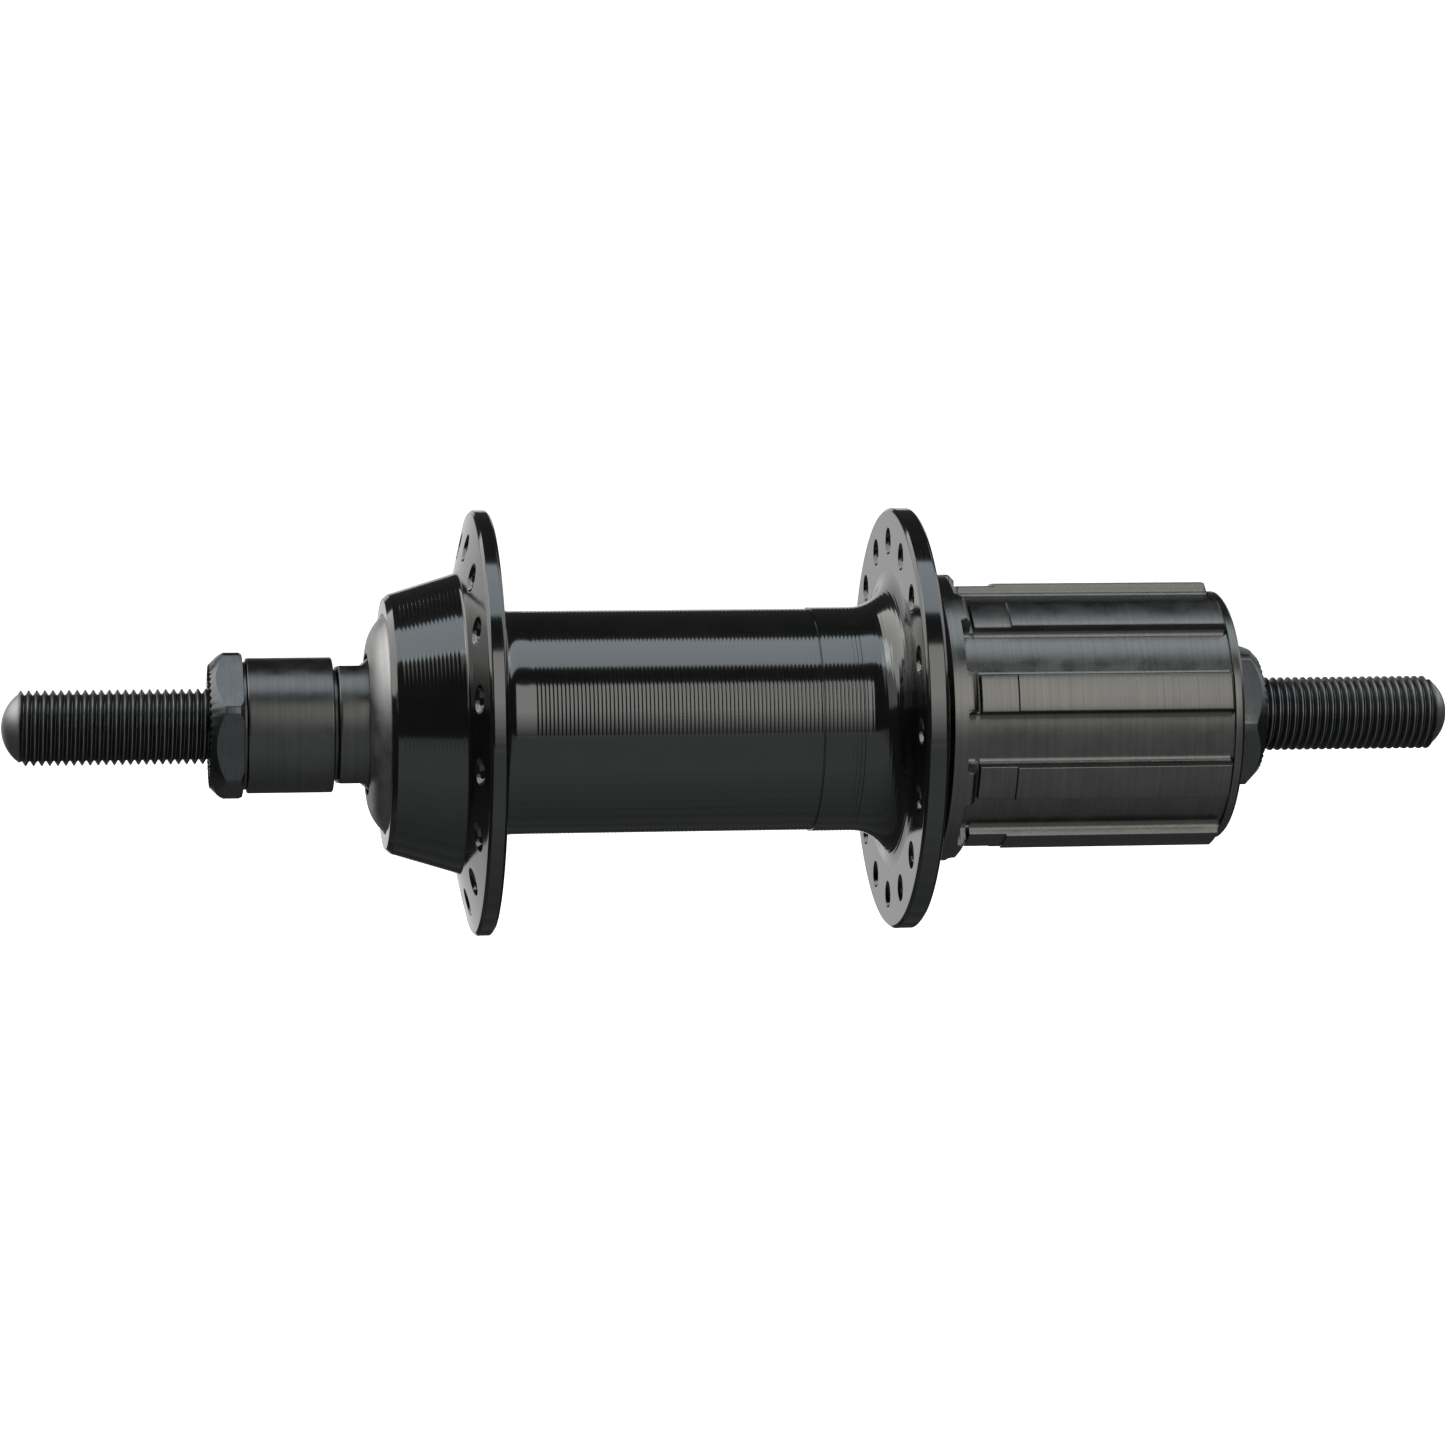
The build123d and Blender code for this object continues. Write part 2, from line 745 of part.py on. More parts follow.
# ---------------------------------------------------------------- drive-side ball cup
right_cup_radius = 13.5
right_cup_end = 61.2
right_cup_wall_start = 54.5
cup_thread_start = 46.5
cup_shoulder_end = cup_shoulder_start + 0.5
with BuildPart() as freehub_ball_cup:
    with BuildSketch(AXIAL):
        with BuildLine():
            outer_race = cone_race(outboard_row_station, 1)
            inner_race = ThreePointArc(
                (right_ball_station, ball_pitch + race_radius),
                (
                    right_ball_station - race_radius * cos(radians(race_middle_angle)),
                    ball_pitch + race_radius * sin(radians(race_middle_angle)),
                ),
                (right_ball_station - cup_lip_reach, cup_lip_radius),
            )
            Polyline(
                outer_race @ 1,
                (right_cup_wall_start, small_lip_radius),
                (right_cup_wall_start, right_cup_radius),
                (right_cup_end, right_cup_radius),
                (right_cup_end, ball_pitch + race_radius),
                inner_race @ 0,
            )
            Polyline(
                inner_race @ 1,
                (cup_thread_start, cup_lip_radius),
                (cup_thread_start, inner_thread_radius - slip),
                (cup_shoulder_start, inner_thread_radius - slip),
                (cup_shoulder_start, shim_rim),
                (cup_shoulder_end, shim_rim),
                (cup_shoulder_end, small_race_bottom),
                outer_race @ 0,
            )
        make_face()
    revolve(axis=Axis.Y)
freehub_ball_cup.part.label = "freehub_ball_cup"
export_step(freehub_ball_cup.part, "parts/freehub_ball_cup.step")

# Dust cap pressed into the mouth of the ball cup
right_cap_skirt_start = 60.3
right_cap_face = 61.8
right_cap_thickness = 0.7
right_cap_rim = ball_pitch + race_radius
with BuildPart() as right_dust_cap:
    with BuildSketch(AXIAL):
        with BuildLine():
            Polyline(
                (right_cap_skirt_start, right_cap_rim),
                (right_cap_face, right_cap_rim),
                (right_cap_face, cap_hole_radius),
                (right_cap_face - right_cap_thickness, cap_hole_radius),
                (right_cap_face - right_cap_thickness, right_cap_rim - right_cap_thickness),
                (right_cap_skirt_start, right_cap_rim - right_cap_thickness),
                close=True,
            )
        make_face()
    revolve(axis=Axis.Y)
right_dust_cap.part.label = "right_dust_cap"
export_step(right_dust_cap.part, "parts/right_dust_cap.step")

# ---------------------------------------------------------------- cassette body
body_end_chamfer = 0.35
body_ring_chamfer = 0.7
body_neck_radius = 15.9
spline_fillet = 0.9
crest_chamfer = 0.5
body_bore_radius = ratchet_root_radius
body_race_top = small_ball_pitch + small_race_radius
body_race_reach = (small_race_radius**2 - (body_bore_radius - small_ball_pitch) ** 2) ** 0.5
mouth_start = 53.4


def spline_star():
    """Cross-section of the splined body: nine ribs with rounded roots, one of them wide."""
    with BuildSketch(mode=Mode.PRIVATE) as star:
        Circle(body_radius)
        for index in range(spline_count):
            rib_turn = spline_turn + index * 360 / spline_count
            rib_width = index_spline_width if index == 0 else spline_width
            with Locations(Location((0, 0, 0), (0, 0, rib_turn))):
                with Locations((body_shoulder_radius, 0)):
                    Rectangle(body_shoulder_radius, rib_width)
        roots = star.vertices().filter_by(lambda v: Vector(v).length < body_neck_radius)
        fillet(roots, spline_fillet)
    return star.sketch


with BuildPart() as freehub_body:
    # Turned outside of the body
    with BuildSketch(AXIAL):
        with BuildLine():
            Polyline(
                (body_start, 0),
                (body_start, body_shoulder_radius - crest_chamfer),
                (body_start + crest_chamfer, body_shoulder_radius),
                (body_shoulder_end - body_ring_chamfer, body_shoulder_radius),
                (body_shoulder_end, body_shoulder_radius - body_ring_chamfer),
                (body_shoulder_end, body_neck_radius),
                (spline_start, body_neck_radius),
                (spline_start, spline_relief_radius),
                (spline_relief_end, spline_relief_radius),
                (spline_relief_end, spline_crest_radius),
                (spline_end, spline_crest_radius),
                (spline_end + crest_chamfer, end_ring_radius),
                (body_end - body_end_chamfer, end_ring_radius),
                (body_end, end_ring_radius - body_end_chamfer),
                (body_end, 0),
                close=True,
            )
        make_face()
    revolve(axis=Axis.Y)
    # Grooves between the splines, which run a little way into the shoulder
    with BuildSketch(across(groove_start)):
        Circle(body_shoulder_radius + 1)
        add(spline_star(), mode=Mode.SUBTRACT)
    extrude(amount=spline_end + crest_chamfer - groove_start, mode=Mode.SUBTRACT)
    # Stepped bore with the outer races of the two small-ball rows
    with BuildSketch(AXIAL):
        with BuildLine():
            inboard_race = ThreePointArc(
                (inboard_row_station, body_race_top),
                (
                    inboard_row_station + small_race_radius * cos(radians(race_middle_angle)),
                    small_ball_pitch + small_race_radius * sin(radians(race_middle_angle)),
                ),
                (inboard_row_station + body_race_reach, body_bore_radius),
            )
            outboard_race = ThreePointArc(
                (outboard_row_station - body_race_reach, body_bore_radius),
                (
                    outboard_row_station - small_race_radius * cos(radians(race_middle_angle)),
                    small_ball_pitch + small_race_radius * sin(radians(race_middle_angle)),
                ),
                (outboard_row_station, body_race_top),
            )
            Line(inboard_race @ 1, outboard_race @ 0)
            Polyline(
                outboard_race @ 1,
                (mouth_start, body_race_top),
                (mouth_start, mouth_radius),
                (body_end, mouth_radius),
                (body_end, 0),
                (body_start, 0),
                (body_start, body_race_top),
                inboard_race @ 0,
            )
        make_face()
    revolve(axis=Axis.Y, mode=Mode.SUBTRACT)
    # Saw teeth of the ratchet
    with BuildSketch(across(ratchet_start)):
        Circle(ratchet_root_radius + 0.3)
        with BuildLine():
            saw = []
            for tooth in range(ratchet_count):
                tooth_turn = ratchet_turn + tooth * 360 / ratchet_count
                saw.append(polar(ratchet_root_radius, tooth_turn))
                saw.append(polar(ratchet_tip_radius, tooth_turn))
                saw.append(polar(ratchet_root_radius, tooth_turn + ratchet_ramp))
            Polyline(*saw, close=True)
        make_face(mode=Mode.SUBTRACT)
    extrude(amount=ratchet_end - ratchet_start)
freehub_body.part.label = "freehub_body"
export_step(freehub_body.part, "parts/freehub_body.step")

# Rubber seal in the inboard mouth of the cassette body
seal_gap = 0.35
inboard_seal_start = 24.5
inboard_seal_end = 26.1
freehub_inboard_seal = ring(
    inboard_seal_start, inboard_seal_end, inner_flange_radius + seal_gap, body_race_top
)
freehub_inboard_seal.part.label = "freehub_inboard_seal"
export_step(freehub_inboard_seal.part, "parts/freehub_inboard_seal.step")
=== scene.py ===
import json
from math import atan2, cos, degrees, exp, hypot, log, pi, radians, sin, sqrt, tan

import bmesh
import bpy
from mathutils import Matrix, Vector

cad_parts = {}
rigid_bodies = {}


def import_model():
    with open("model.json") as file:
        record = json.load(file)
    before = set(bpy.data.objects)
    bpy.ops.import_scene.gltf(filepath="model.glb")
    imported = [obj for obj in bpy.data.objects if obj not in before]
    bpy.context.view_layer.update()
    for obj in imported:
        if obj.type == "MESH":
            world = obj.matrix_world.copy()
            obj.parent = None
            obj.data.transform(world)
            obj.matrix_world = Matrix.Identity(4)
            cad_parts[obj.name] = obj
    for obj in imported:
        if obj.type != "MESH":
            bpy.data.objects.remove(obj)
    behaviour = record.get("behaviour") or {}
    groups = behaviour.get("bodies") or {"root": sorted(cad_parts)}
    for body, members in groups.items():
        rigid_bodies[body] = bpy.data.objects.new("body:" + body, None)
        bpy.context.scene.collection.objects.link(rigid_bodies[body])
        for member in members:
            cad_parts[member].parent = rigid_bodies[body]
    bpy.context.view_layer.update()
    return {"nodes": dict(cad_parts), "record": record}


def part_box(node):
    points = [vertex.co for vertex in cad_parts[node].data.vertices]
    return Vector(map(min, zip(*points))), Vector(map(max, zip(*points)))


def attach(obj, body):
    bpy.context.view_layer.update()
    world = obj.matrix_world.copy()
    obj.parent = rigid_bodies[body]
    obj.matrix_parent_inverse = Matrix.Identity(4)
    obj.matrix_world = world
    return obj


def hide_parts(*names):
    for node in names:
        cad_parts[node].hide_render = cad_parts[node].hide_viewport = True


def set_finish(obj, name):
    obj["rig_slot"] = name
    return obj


# Rear bicycle hub.  The axle runs along Y with the drive side at -Y, Z is up and X is
# forwards.  Lengths in this script are in millimetres and become metres in the meshes.
MM = 0.001

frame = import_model()
nodes = frame["nodes"]


def low(node):
    """Lowest corner of a CAD node, in millimetres."""
    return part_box(node)[0] / MM


def high(node):
    """Highest corner of a CAD node, in millimetres."""
    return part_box(node)[1] / MM


# ------------------------------------------------------------------ mesh helpers
def make_object(name, points, faces, body, slot, replaced, sharp=30.0):
    """Mesh object with smooth faces and sharp edges, riding on a CAD body."""
    mesh = bpy.data.meshes.new(name)
    mesh.from_pydata([(x * MM, y * MM, z * MM) for x, y, z in points], [], faces)
    work = bmesh.new()
    work.from_mesh(mesh)
    bmesh.ops.remove_doubles(work, verts=work.verts, dist=2e-7)
    bmesh.ops.dissolve_degenerate(work, edges=work.edges, dist=1e-7)
    bmesh.ops.recalc_face_normals(work, faces=work.faces)
    work.to_mesh(mesh)
    work.free()
    mesh.polygons.foreach_set("use_smooth", [True] * len(mesh.polygons))
    mesh.set_sharp_from_angle(angle=radians(sharp))
    piece = bpy.data.objects.new(name, mesh)
    bpy.context.scene.collection.objects.link(piece)
    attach(piece, body)
    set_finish(piece, slot)
    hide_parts(*replaced)
    return piece


def rounded(corners, steps=4):
    """Rounds the corners of an open profile of (y, r, rounding) with arcs of a few points."""
    out = [corners[0][:2]]
    for before, here, after in zip(corners, corners[1:], corners[2:]):
        size = here[2]
        a = Vector((before[0] - here[0], before[1] - here[1]))
        b = Vector((after[0] - here[0], after[1] - here[1]))
        if size <= 0 or a.length < 1e-6 or b.length < 1e-6:
            out += [here[:2]] * (steps + 1)
            continue
        la, lb = a.length, b.length
        a, b = a.normalized(), b.normalized()
        half = max(0.05, a.angle(b) / 2)
        run = min(size / tan(half), la * 0.48, lb * 0.48)
        start = Vector(here[:2]) + a * run
        end = Vector(here[:2]) + b * run
        for k in range(steps + 1):
            t = k / steps
            p = start * (1 - t) ** 2 + Vector(here[:2]) * 2 * t * (1 - t) + end * t * t
            out.append((p.x, p.y))
    out.append(corners[-1][:2])
    return out


def tidy_rows(rows):
    """Drops rows that repeat the one before."""
    out = [rows[0]]
    for row in rows[1:]:
        if hypot(row[0] - out[-1][0], row[1] - out[-1][1]) > 1e-4:
            out.append(row)
    return out


def supported(rows, inset=0.08):
    """Adds a row close to each end of a long stretch, so that it shades flat up to its edges."""
    out = [rows[0]]
    for before, row in zip(rows, rows[1:]):
        run = Vector((row[0] - before[0], row[1] - before[1]))
        if run.length > 6 * inset:
            step = run.normalized() * inset
            out.append((before[0] + step.x, before[1] + step.y))
            out.append((row[0] - step.x, row[1] - step.y))
        out.append(row)
    return out


def around(count, start=0.0):
    """Evenly spaced directions round the axle, in radians from +X towards +Z."""
    return [radians(start) + 2 * pi * j / count for j in range(count)]


def spin_points(rows, turns):
    """Points of a surface of revolution, row by row."""
    return [(r * cos(t), y, r * sin(t)) for y, r in rows for t in turns]


def grid_faces(rows, columns, first=0, closed=False):
    """Quads between neighbouring rows of points; closed joins the last row to the first."""
    faces = []
    for i in range(rows if closed else rows - 1):
        a, b = first + i * columns, first + ((i + 1) % rows) * columns
        for j in range(columns):
            k = (j + 1) % columns
            faces.append((a + j, a + k, b + k, b + j))
    return faces


def lathe(name, profile, body, slot, replaced, count, sharp=30.0):
    """Closed ring turned from a profile of (y, r, rounding) corners, with count points round it."""
    loop = [profile[-1]] + list(profile) + [profile[0]]
    rows = tidy_rows(rounded(loop)[1:-1])
    if hypot(rows[0][0] - rows[-1][0], rows[0][1] - rows[-1][1]) < 1e-4:
        rows.pop()
    rows = supported(rows)
    points = spin_points(rows, around(count))
    faces = grid_faces(len(rows), count, closed=True)
    return make_object(name, points, faces, body, slot, replaced, sharp)


def soft_min(a, b, tightness):
    """Smaller of two numbers, with the crease between them rounded off."""
    least = min(a, b)
    return least - log(exp(tightness * (least - a)) + exp(tightness * (least - b))) / tightness


# ------------------------------------------------------------------ threaded axle
THREAD_PITCH = 1.0
AXLE_RADIUS = 4.75
CORE_RADIUS = 4.45
DOME_RADIUS = 4.2
DOME_HEIGHT = 2.05
RUN_OUT = 0.4
THREAD_COLUMNS = 96
THREAD_HIDDEN = 2.0
DOME_STEPS = 12
# each row's place as a share of the pitch, and its depth below the crest
THREAD_SHAPE = (
    (-0.11, 0.06), (-0.06, 0.0), (0.06, 0.0), (0.11, 0.06),
    (0.40, 0.54), (0.46, 0.60), (0.54, 0.60), (0.60, 0.54),
)


def thread_rows(inner, outer):
    """Rows of a helical thread from inside the locknut out to the chamfered end."""
    sign = 1 if outer > inner else -1
    length = abs(outer - inner)
    last_turn = int(length / THREAD_PITCH) + 3
    rows = []
    for turn in range(-2, last_turn):
        for share, depth in THREAD_SHAPE:
            row = []
            for j in range(THREAD_COLUMNS):
                angle = j / THREAD_COLUMNS
                along = THREAD_PITCH * (turn + share + sign * angle)
                along = min(max(along, 0.0), length)
                y = inner + sign * along
                limit = AXLE_RADIUS
                if along > length - RUN_OUT:
                    limit -= (AXLE_RADIUS - DOME_RADIUS) * (along - length + RUN_OUT) / RUN_OUT
                r = min(AXLE_RADIUS - depth, limit)
                if along <= 0.0:
                    r = CORE_RADIUS
                if along >= length:
                    r = DOME_RADIUS
                t = 2 * pi * angle
                row.append((r * cos(t), y, r * sin(t)))
            rows.append(row)
    return rows


def thread_faces(rows, first, lead):
    """Quads of a thread: the last column meets the first one a whole pitch away (lead rows)."""
    faces = []
    columns = THREAD_COLUMNS
    for i in range(rows - 1):
        for j in range(columns - 1):
            a = first + i * columns + j
            faces.append((a, a + 1, a + columns + 1, a + columns))
        if 0 <= i + lead < rows - 1:
            a = first + i * columns + columns - 1
            b = first + (i + lead) * columns
            faces.append((a, b, b + columns, a + columns))
    return faces


def build_axle():
    """Solid axle with a helical thread at both ends and domed tips."""
    points, faces = [], []
    tip = high("axle").y
    nut_face = high("left_locknut").y
    inner, outer = nut_face - THREAD_HIDDEN, tip - DOME_HEIGHT
    dome_sphere = (DOME_RADIUS**2 + DOME_HEIGHT**2) / (2 * DOME_HEIGHT)
    columns = around(THREAD_COLUMNS)
    for side in (1, -1):
        rows = thread_rows(side * inner, side * outer)
        first = len(points)
        for row in rows:
            points += row
        faces += thread_faces(len(rows), first, side * len(THREAD_SHAPE))
        dome = []
        lean = atan2(DOME_RADIUS, dome_sphere - DOME_HEIGHT)
        for k in range(DOME_STEPS + 1):
            a = lean * (1 - k / DOME_STEPS)
            dome.append((side * (tip - dome_sphere + dome_sphere * cos(a)), dome_sphere * sin(a)))
        first = len(points)
        points += spin_points(dome, columns)
        faces += grid_faces(len(dome), THREAD_COLUMNS, first)
    first = len(points)
    points += spin_points([(inner, CORE_RADIUS), (-inner, CORE_RADIUS)], columns)
    faces += grid_faces(2, THREAD_COLUMNS, first)
    return make_object("axle_threaded", points, faces, "axle_set", "axle_steel", ["axle"], 40)


# ------------------------------------------------------------------ locknuts
NUT_FLATS = 17.0
NUT_CORNER = 9.55
NUT_FACE = 7.7
NUT_BACK = 9.1
NUT_COLUMNS = 576
NUT_TEETH = 48
TOOTH_DEPTH = 0.28
NUT_BORE = AXLE_RADIUS + 0.02
NUT_MOUTH = AXLE_RADIUS + 0.37
RECESS_DEPTH = 0.35
RECESS_RADII = (5.9, 6.3)


def build_locknut(node, side, turn):
    """Hexagon locknut with a long chamfer and radial teeth on its outer face."""
    face = side * max(side * low(node).y, side * high(node).y)
    back = side * min(side * low(node).y, side * high(node).y)
    depth = abs(face - back)
    columns = []
    for j in range(NUT_COLUMNS):
        t = 2 * pi * j / NUT_COLUMNS
        flat_turn = (degrees(t) - turn) % 60 - 30
        hexagon = NUT_FLATS / 2 / cos(radians(flat_turn))
        rim = soft_min(hexagon, NUT_CORNER, 30)
        phase = (j * NUT_TEETH / NUT_COLUMNS) % 1.0
        tooth = TOOTH_DEPTH * (1 - abs(2 * phase - 1))
        back_rim = soft_min(NUT_BACK, rim, 40)
        profile = [
            (depth / 2, NUT_BORE, 0),
            (NUT_MOUTH - NUT_BORE, NUT_BORE, 0.05),
            (0.0, NUT_MOUTH, 0.05),
            (0.0, back_rim, 0.1),
            (max(0.02, rim - NUT_BACK), rim, 0.1),
            (depth - (rim - NUT_FACE), rim, 0.12),
            (depth - tooth, NUT_FACE + tooth, 0.05),
            (depth - tooth, RECESS_RADII[1], 0.05),
            (depth - RECESS_DEPTH, RECESS_RADII[0], 0.05),
            (depth - RECESS_DEPTH, NUT_MOUTH, 0.05),
            (depth - 2 * RECESS_DEPTH, NUT_BORE, 0.05),
            (depth / 2, NUT_BORE, 0),
        ]
        columns.append(rounded(profile, 3))
    rows = len(columns[0])
    points = []
    for i in range(rows):
        for j in range(NUT_COLUMNS):
            t = 2 * pi * j / NUT_COLUMNS
            along, r = columns[j][i]
            points.append((r * cos(t), back + side * along, r * sin(t)))
    faces = grid_faces(rows, NUT_COLUMNS)
    return make_object(node + "_toothed", points, faces, "axle_set", "nut_steel", [node], 38)


# ------------------------------------------------------------------ washers, spacer and cones
def build_washers():
    """Three washers and the left spacer, plain rings with rounded edges."""
    for node, rounding in (
        ("left_outer_washer", 0.1),
        ("left_inner_washer", 0.12),
        ("right_washer", 0.15),
        ("left_spacer", 0.3),
    ):
        a, b = low(node).y, high(node).y
        bore, rim = AXLE_RADIUS + 0.06, high(node).z
        profile = ((a, bore, 0.05), (a, rim, rounding), (b, rim, rounding), (b, bore, 0.05))
        lathe(node + "_turned", profile, "axle_set", "cone_steel", [node], 192)


CONE_FLAT = 7.4
CONE_FLAT_LENGTH = 3.1
CONE_EDGE = 0.25
CONE_COLUMNS = 288
RACE_RADIUS = 3.225
RACE_PITCH_RADIUS = 9.6
RACE_STEPS = 14


def build_left_cone():
    """Bearing cone with spanner flats above and below that run out at 45 degrees."""
    node = "left_cone"
    face = high(node).y
    rim = high(node).x
    ball_station = (low("left_balls").y + high("left_balls").y) / 2
    nose = low(node).y
    bore = AXLE_RADIUS - 0.1
    steps = [face, face - 0.05, face - 0.12] + [face - 0.25 * k for k in range(1, 26)]
    race = []
    for k in range(RACE_STEPS + 1):
        a = radians(20 + 70 * k / RACE_STEPS)
        race.append((ball_station + RACE_RADIUS * cos(a), RACE_PITCH_RADIUS - RACE_RADIUS * sin(a)))
    turns = around(CONE_COLUMNS)
    rows = [[(face - 0.3, bore)] * CONE_COLUMNS, [(face, AXLE_RADIUS + 0.3)] * CONE_COLUMNS]
    for y in steps:
        if y <= race[0][0] + 0.2:
            break
        row = []
        for t in turns:
            down = face - y
            flat = CONE_FLAT + max(0.0, down - CONE_FLAT_LENGTH)
            height = flat / max(0.02, abs(sin(t)))
            r = soft_min(rim, min(height, rim + 3), 26)
            if down < CONE_EDGE:
                r -= CONE_EDGE - sqrt(max(0.0, CONE_EDGE**2 - (CONE_EDGE - down) ** 2))
            row.append((y, r))
        rows.append(row)
    for place in race + [(ball_station, 6.3), (nose, 6.1), (nose, bore)]:
        rows.append([place] * CONE_COLUMNS)
    points = [(r * cos(t), y, r * sin(t)) for row in rows for (y, r), t in zip(row, turns)]
    faces = grid_faces(len(rows), CONE_COLUMNS, closed=True)
    return make_object("left_cone_ground", points, faces, "axle_set", "cone_steel", [node], 34)


CAP_EDGE = 13.65
CAP_HOLE = 8.95
CAP_SKIRT = (13.1, 13.88)
CAP_STEPS = 16


def build_dust_cap():
    """Domed left cap, which rises at its middle and falls to the rim of the shell."""
    top = high("left_dust_cap").y
    skirt = low("left_dust_cap").y
    rim_y = high("hub_shell").y
    profile = [(top - 0.02, CAP_HOLE, 0.15)]
    for k in range(1, CAP_STEPS + 1):
        s = k / CAP_STEPS
        y = top - (top - rim_y - 0.1) * (0.12 * s + 0.88 * s**2.6)
        profile.append((y, CAP_HOLE + (CAP_EDGE - CAP_HOLE) * s, 0.12 if k == CAP_STEPS else 0.0))
    profile += [
        (rim_y - 0.15, CAP_SKIRT[1], 0.05),
        (skirt, CAP_SKIRT[1], 0.0),
        (skirt, CAP_SKIRT[0], 0.0),
        (rim_y - 0.4, CAP_SKIRT[0], 0.3),
        (top - 1.6, 11.6, 0.8),
        (top - 0.85, CAP_HOLE, 0.1),
    ]
    lathe("left_dust_cap_domed", profile, "shell", "cap_steel", ["left_dust_cap"], 256, sharp=42)


# ------------------------------------------------------------------ hub shell
SHELL_COLUMNS = 288
SPOKES = 16
SPOKE_CIRCLE = 22.75
SINK_RADIUS = 1.75
HOLE_RADIUS = 1.35
LEFT_PHASE = 15.25
RIGHT_PHASE = 4.0
TURNING_FEED = 0.5
BARREL_SCALLOP = 0.034
SHOULDER_SCALLOP = 0.016
FLARE_SCALLOP = 0.012
# places of the rows across one groove, as shares of its width
SCALLOP_SHAPE = (-0.5, -0.4, -0.14, 0.14, 0.4)
FLANGE_FACE_STEPS = 12
LEFT_FACE, LEFT_BACK = 34.45, 32.15
RIGHT_FACE, RIGHT_BACK = -19.35, -22.15
FACE_RADIUS = 26.6
ROOT_Y, ROOT_RADIUS = 36.2, 19.1
BARREL, BARREL_RIGHT = 14.2, 14.35
BARREL_STEP_Y = -8.85
SMOOTH_START, SMOOTH_END = 28.6, 27.7
BACK_FILLET = 2.8
FLARE = 5.0
MOUTH_RADIUS = 13.93


def scalloped(start, end, depth):
    """Rows of a turned stretch from start to end (y, r), with a round-bottomed groove a turn."""
    run = Vector((end[0] - start[0], end[1] - start[1]))
    count = max(1, round(run.length / TURNING_FEED))
    normal = Vector((run.y, -run.x)).normalized()
    if normal.y < 0:
        normal = -normal
    rows = []
    for k in range(count):
        for share in SCALLOP_SHAPE:
            along = (k + 0.5 + share) / count
            inward = depth * (1 - (2 * share) ** 2)
            p = Vector(start) + run * along - normal * inward
            rows.append((p.x, p.y))
    rows.append(tuple(end))
    return rows


# radius and depth of the rings that make a countersink
SINK = (
    (SINK_RADIUS + 0.25, 0.0), (SINK_RADIUS + 0.07, 0.0), (SINK_RADIUS + 0.02, 0.015),
    (SINK_RADIUS - 0.03, 0.06), (HOLE_RADIUS + 0.04, 0.39), (HOLE_RADIUS, 0.46),
)


def arc_rows(centre, radius, a0, a1, steps, depth=0.0):
    """Hollow arc in the (y, r) plane, angles in degrees from +y towards +r, plain or grooved."""
    out = []
    shape = SCALLOP_SHAPE if depth else (-0.5,)
    for k in range(steps):
        for share in shape:
            a = radians(a0 + (a1 - a0) * (k + 0.5 + share) / steps)
            reach = radius + depth * (1 - (2 * share) ** 2)
            out.append((centre[0] + reach * cos(a), centre[1] + reach * sin(a)))
    a = radians(a1)
    out.append((centre[0] + radius * cos(a), centre[1] + radius * sin(a)))
    return out


def flange_face(points, faces, height, into, inner, outer, phase, first_column):
    """Flange face between two rows, with a ring of points left open round each hole.

    height gives the face's y at a radius; inner and outer are the first indices of the rows
    that bound the face."""
    per = SHELL_COLUMNS // SPOKES
    r_in = hypot(points[inner][0], points[inner][2])
    r_out = hypot(points[outer][0], points[outer][2])
    side_lines = []
    for s in range(SPOKES):
        column = (first_column + s * per) % SHELL_COLUMNS
        t = atan2(points[inner + column][2], points[inner + column][0])
        line = []
        for k in range(1, FLANGE_FACE_STEPS):
            r = r_in + (r_out - r_in) * k / FLANGE_FACE_STEPS
            line.append(len(points))
            points.append((r * cos(t), height(r), r * sin(t)))
        side_lines.append(line)
    rings = []
    for s in range(SPOKES):
        c0 = first_column + s * per
        boundary = [inner + (c0 + k) % SHELL_COLUMNS for k in range(per + 1)]
        boundary += side_lines[(s + 1) % SPOKES]
        boundary += [outer + (c0 + per - k) % SHELL_COLUMNS for k in range(per + 1)]
        boundary += list(reversed(side_lines[s]))
        turn = radians(phase + s * 360 / SPOKES)
        cx, cz = SPOKE_CIRCLE * cos(turn), SPOKE_CIRCLE * sin(turn)
        turns = [atan2(points[b][2] - cz, points[b][0] - cx) for b in boundary]
        count = len(boundary)
        loops = []
        for radius, depth in SINK:
            loop = []
            for a in turns:
                loop.append(len(points))
                x, z = cx + radius * cos(a), cz + radius * sin(a)
                points.append((x, height(hypot(x, z)) + into * depth, z))
            loops.append(loop)
        chain = [boundary] + loops
        for a, b in zip(chain, chain[1:]):
            for k in range(count):
                m = (k + 1) % count
                faces.append((a[k], a[m], b[m], b[k]))
        rings.append(loops[-1])
    return rings


def left_slope(r):
    """Outer face of the left flange, which leans out towards the shoulder."""
    return LEFT_FACE + (ROOT_Y - LEFT_FACE) * (FACE_RADIUS - r) / (FACE_RADIUS - ROOT_RADIUS)


def flange_rim(outer, face, back, flange_r):
    """Rounded rim of a flange, from its outer face at y = outer to its back."""
    return supported(rounded([
        (outer, flange_r - 0.9, 0),
        (face, FACE_RADIUS, 0.3),
        (face - 0.4, flange_r, 0.3),
        (back + 0.4, flange_r, 0.25),
        (back, flange_r - 0.4, 0.25),
        (back, flange_r - 0.6, 0),
    ], 5))


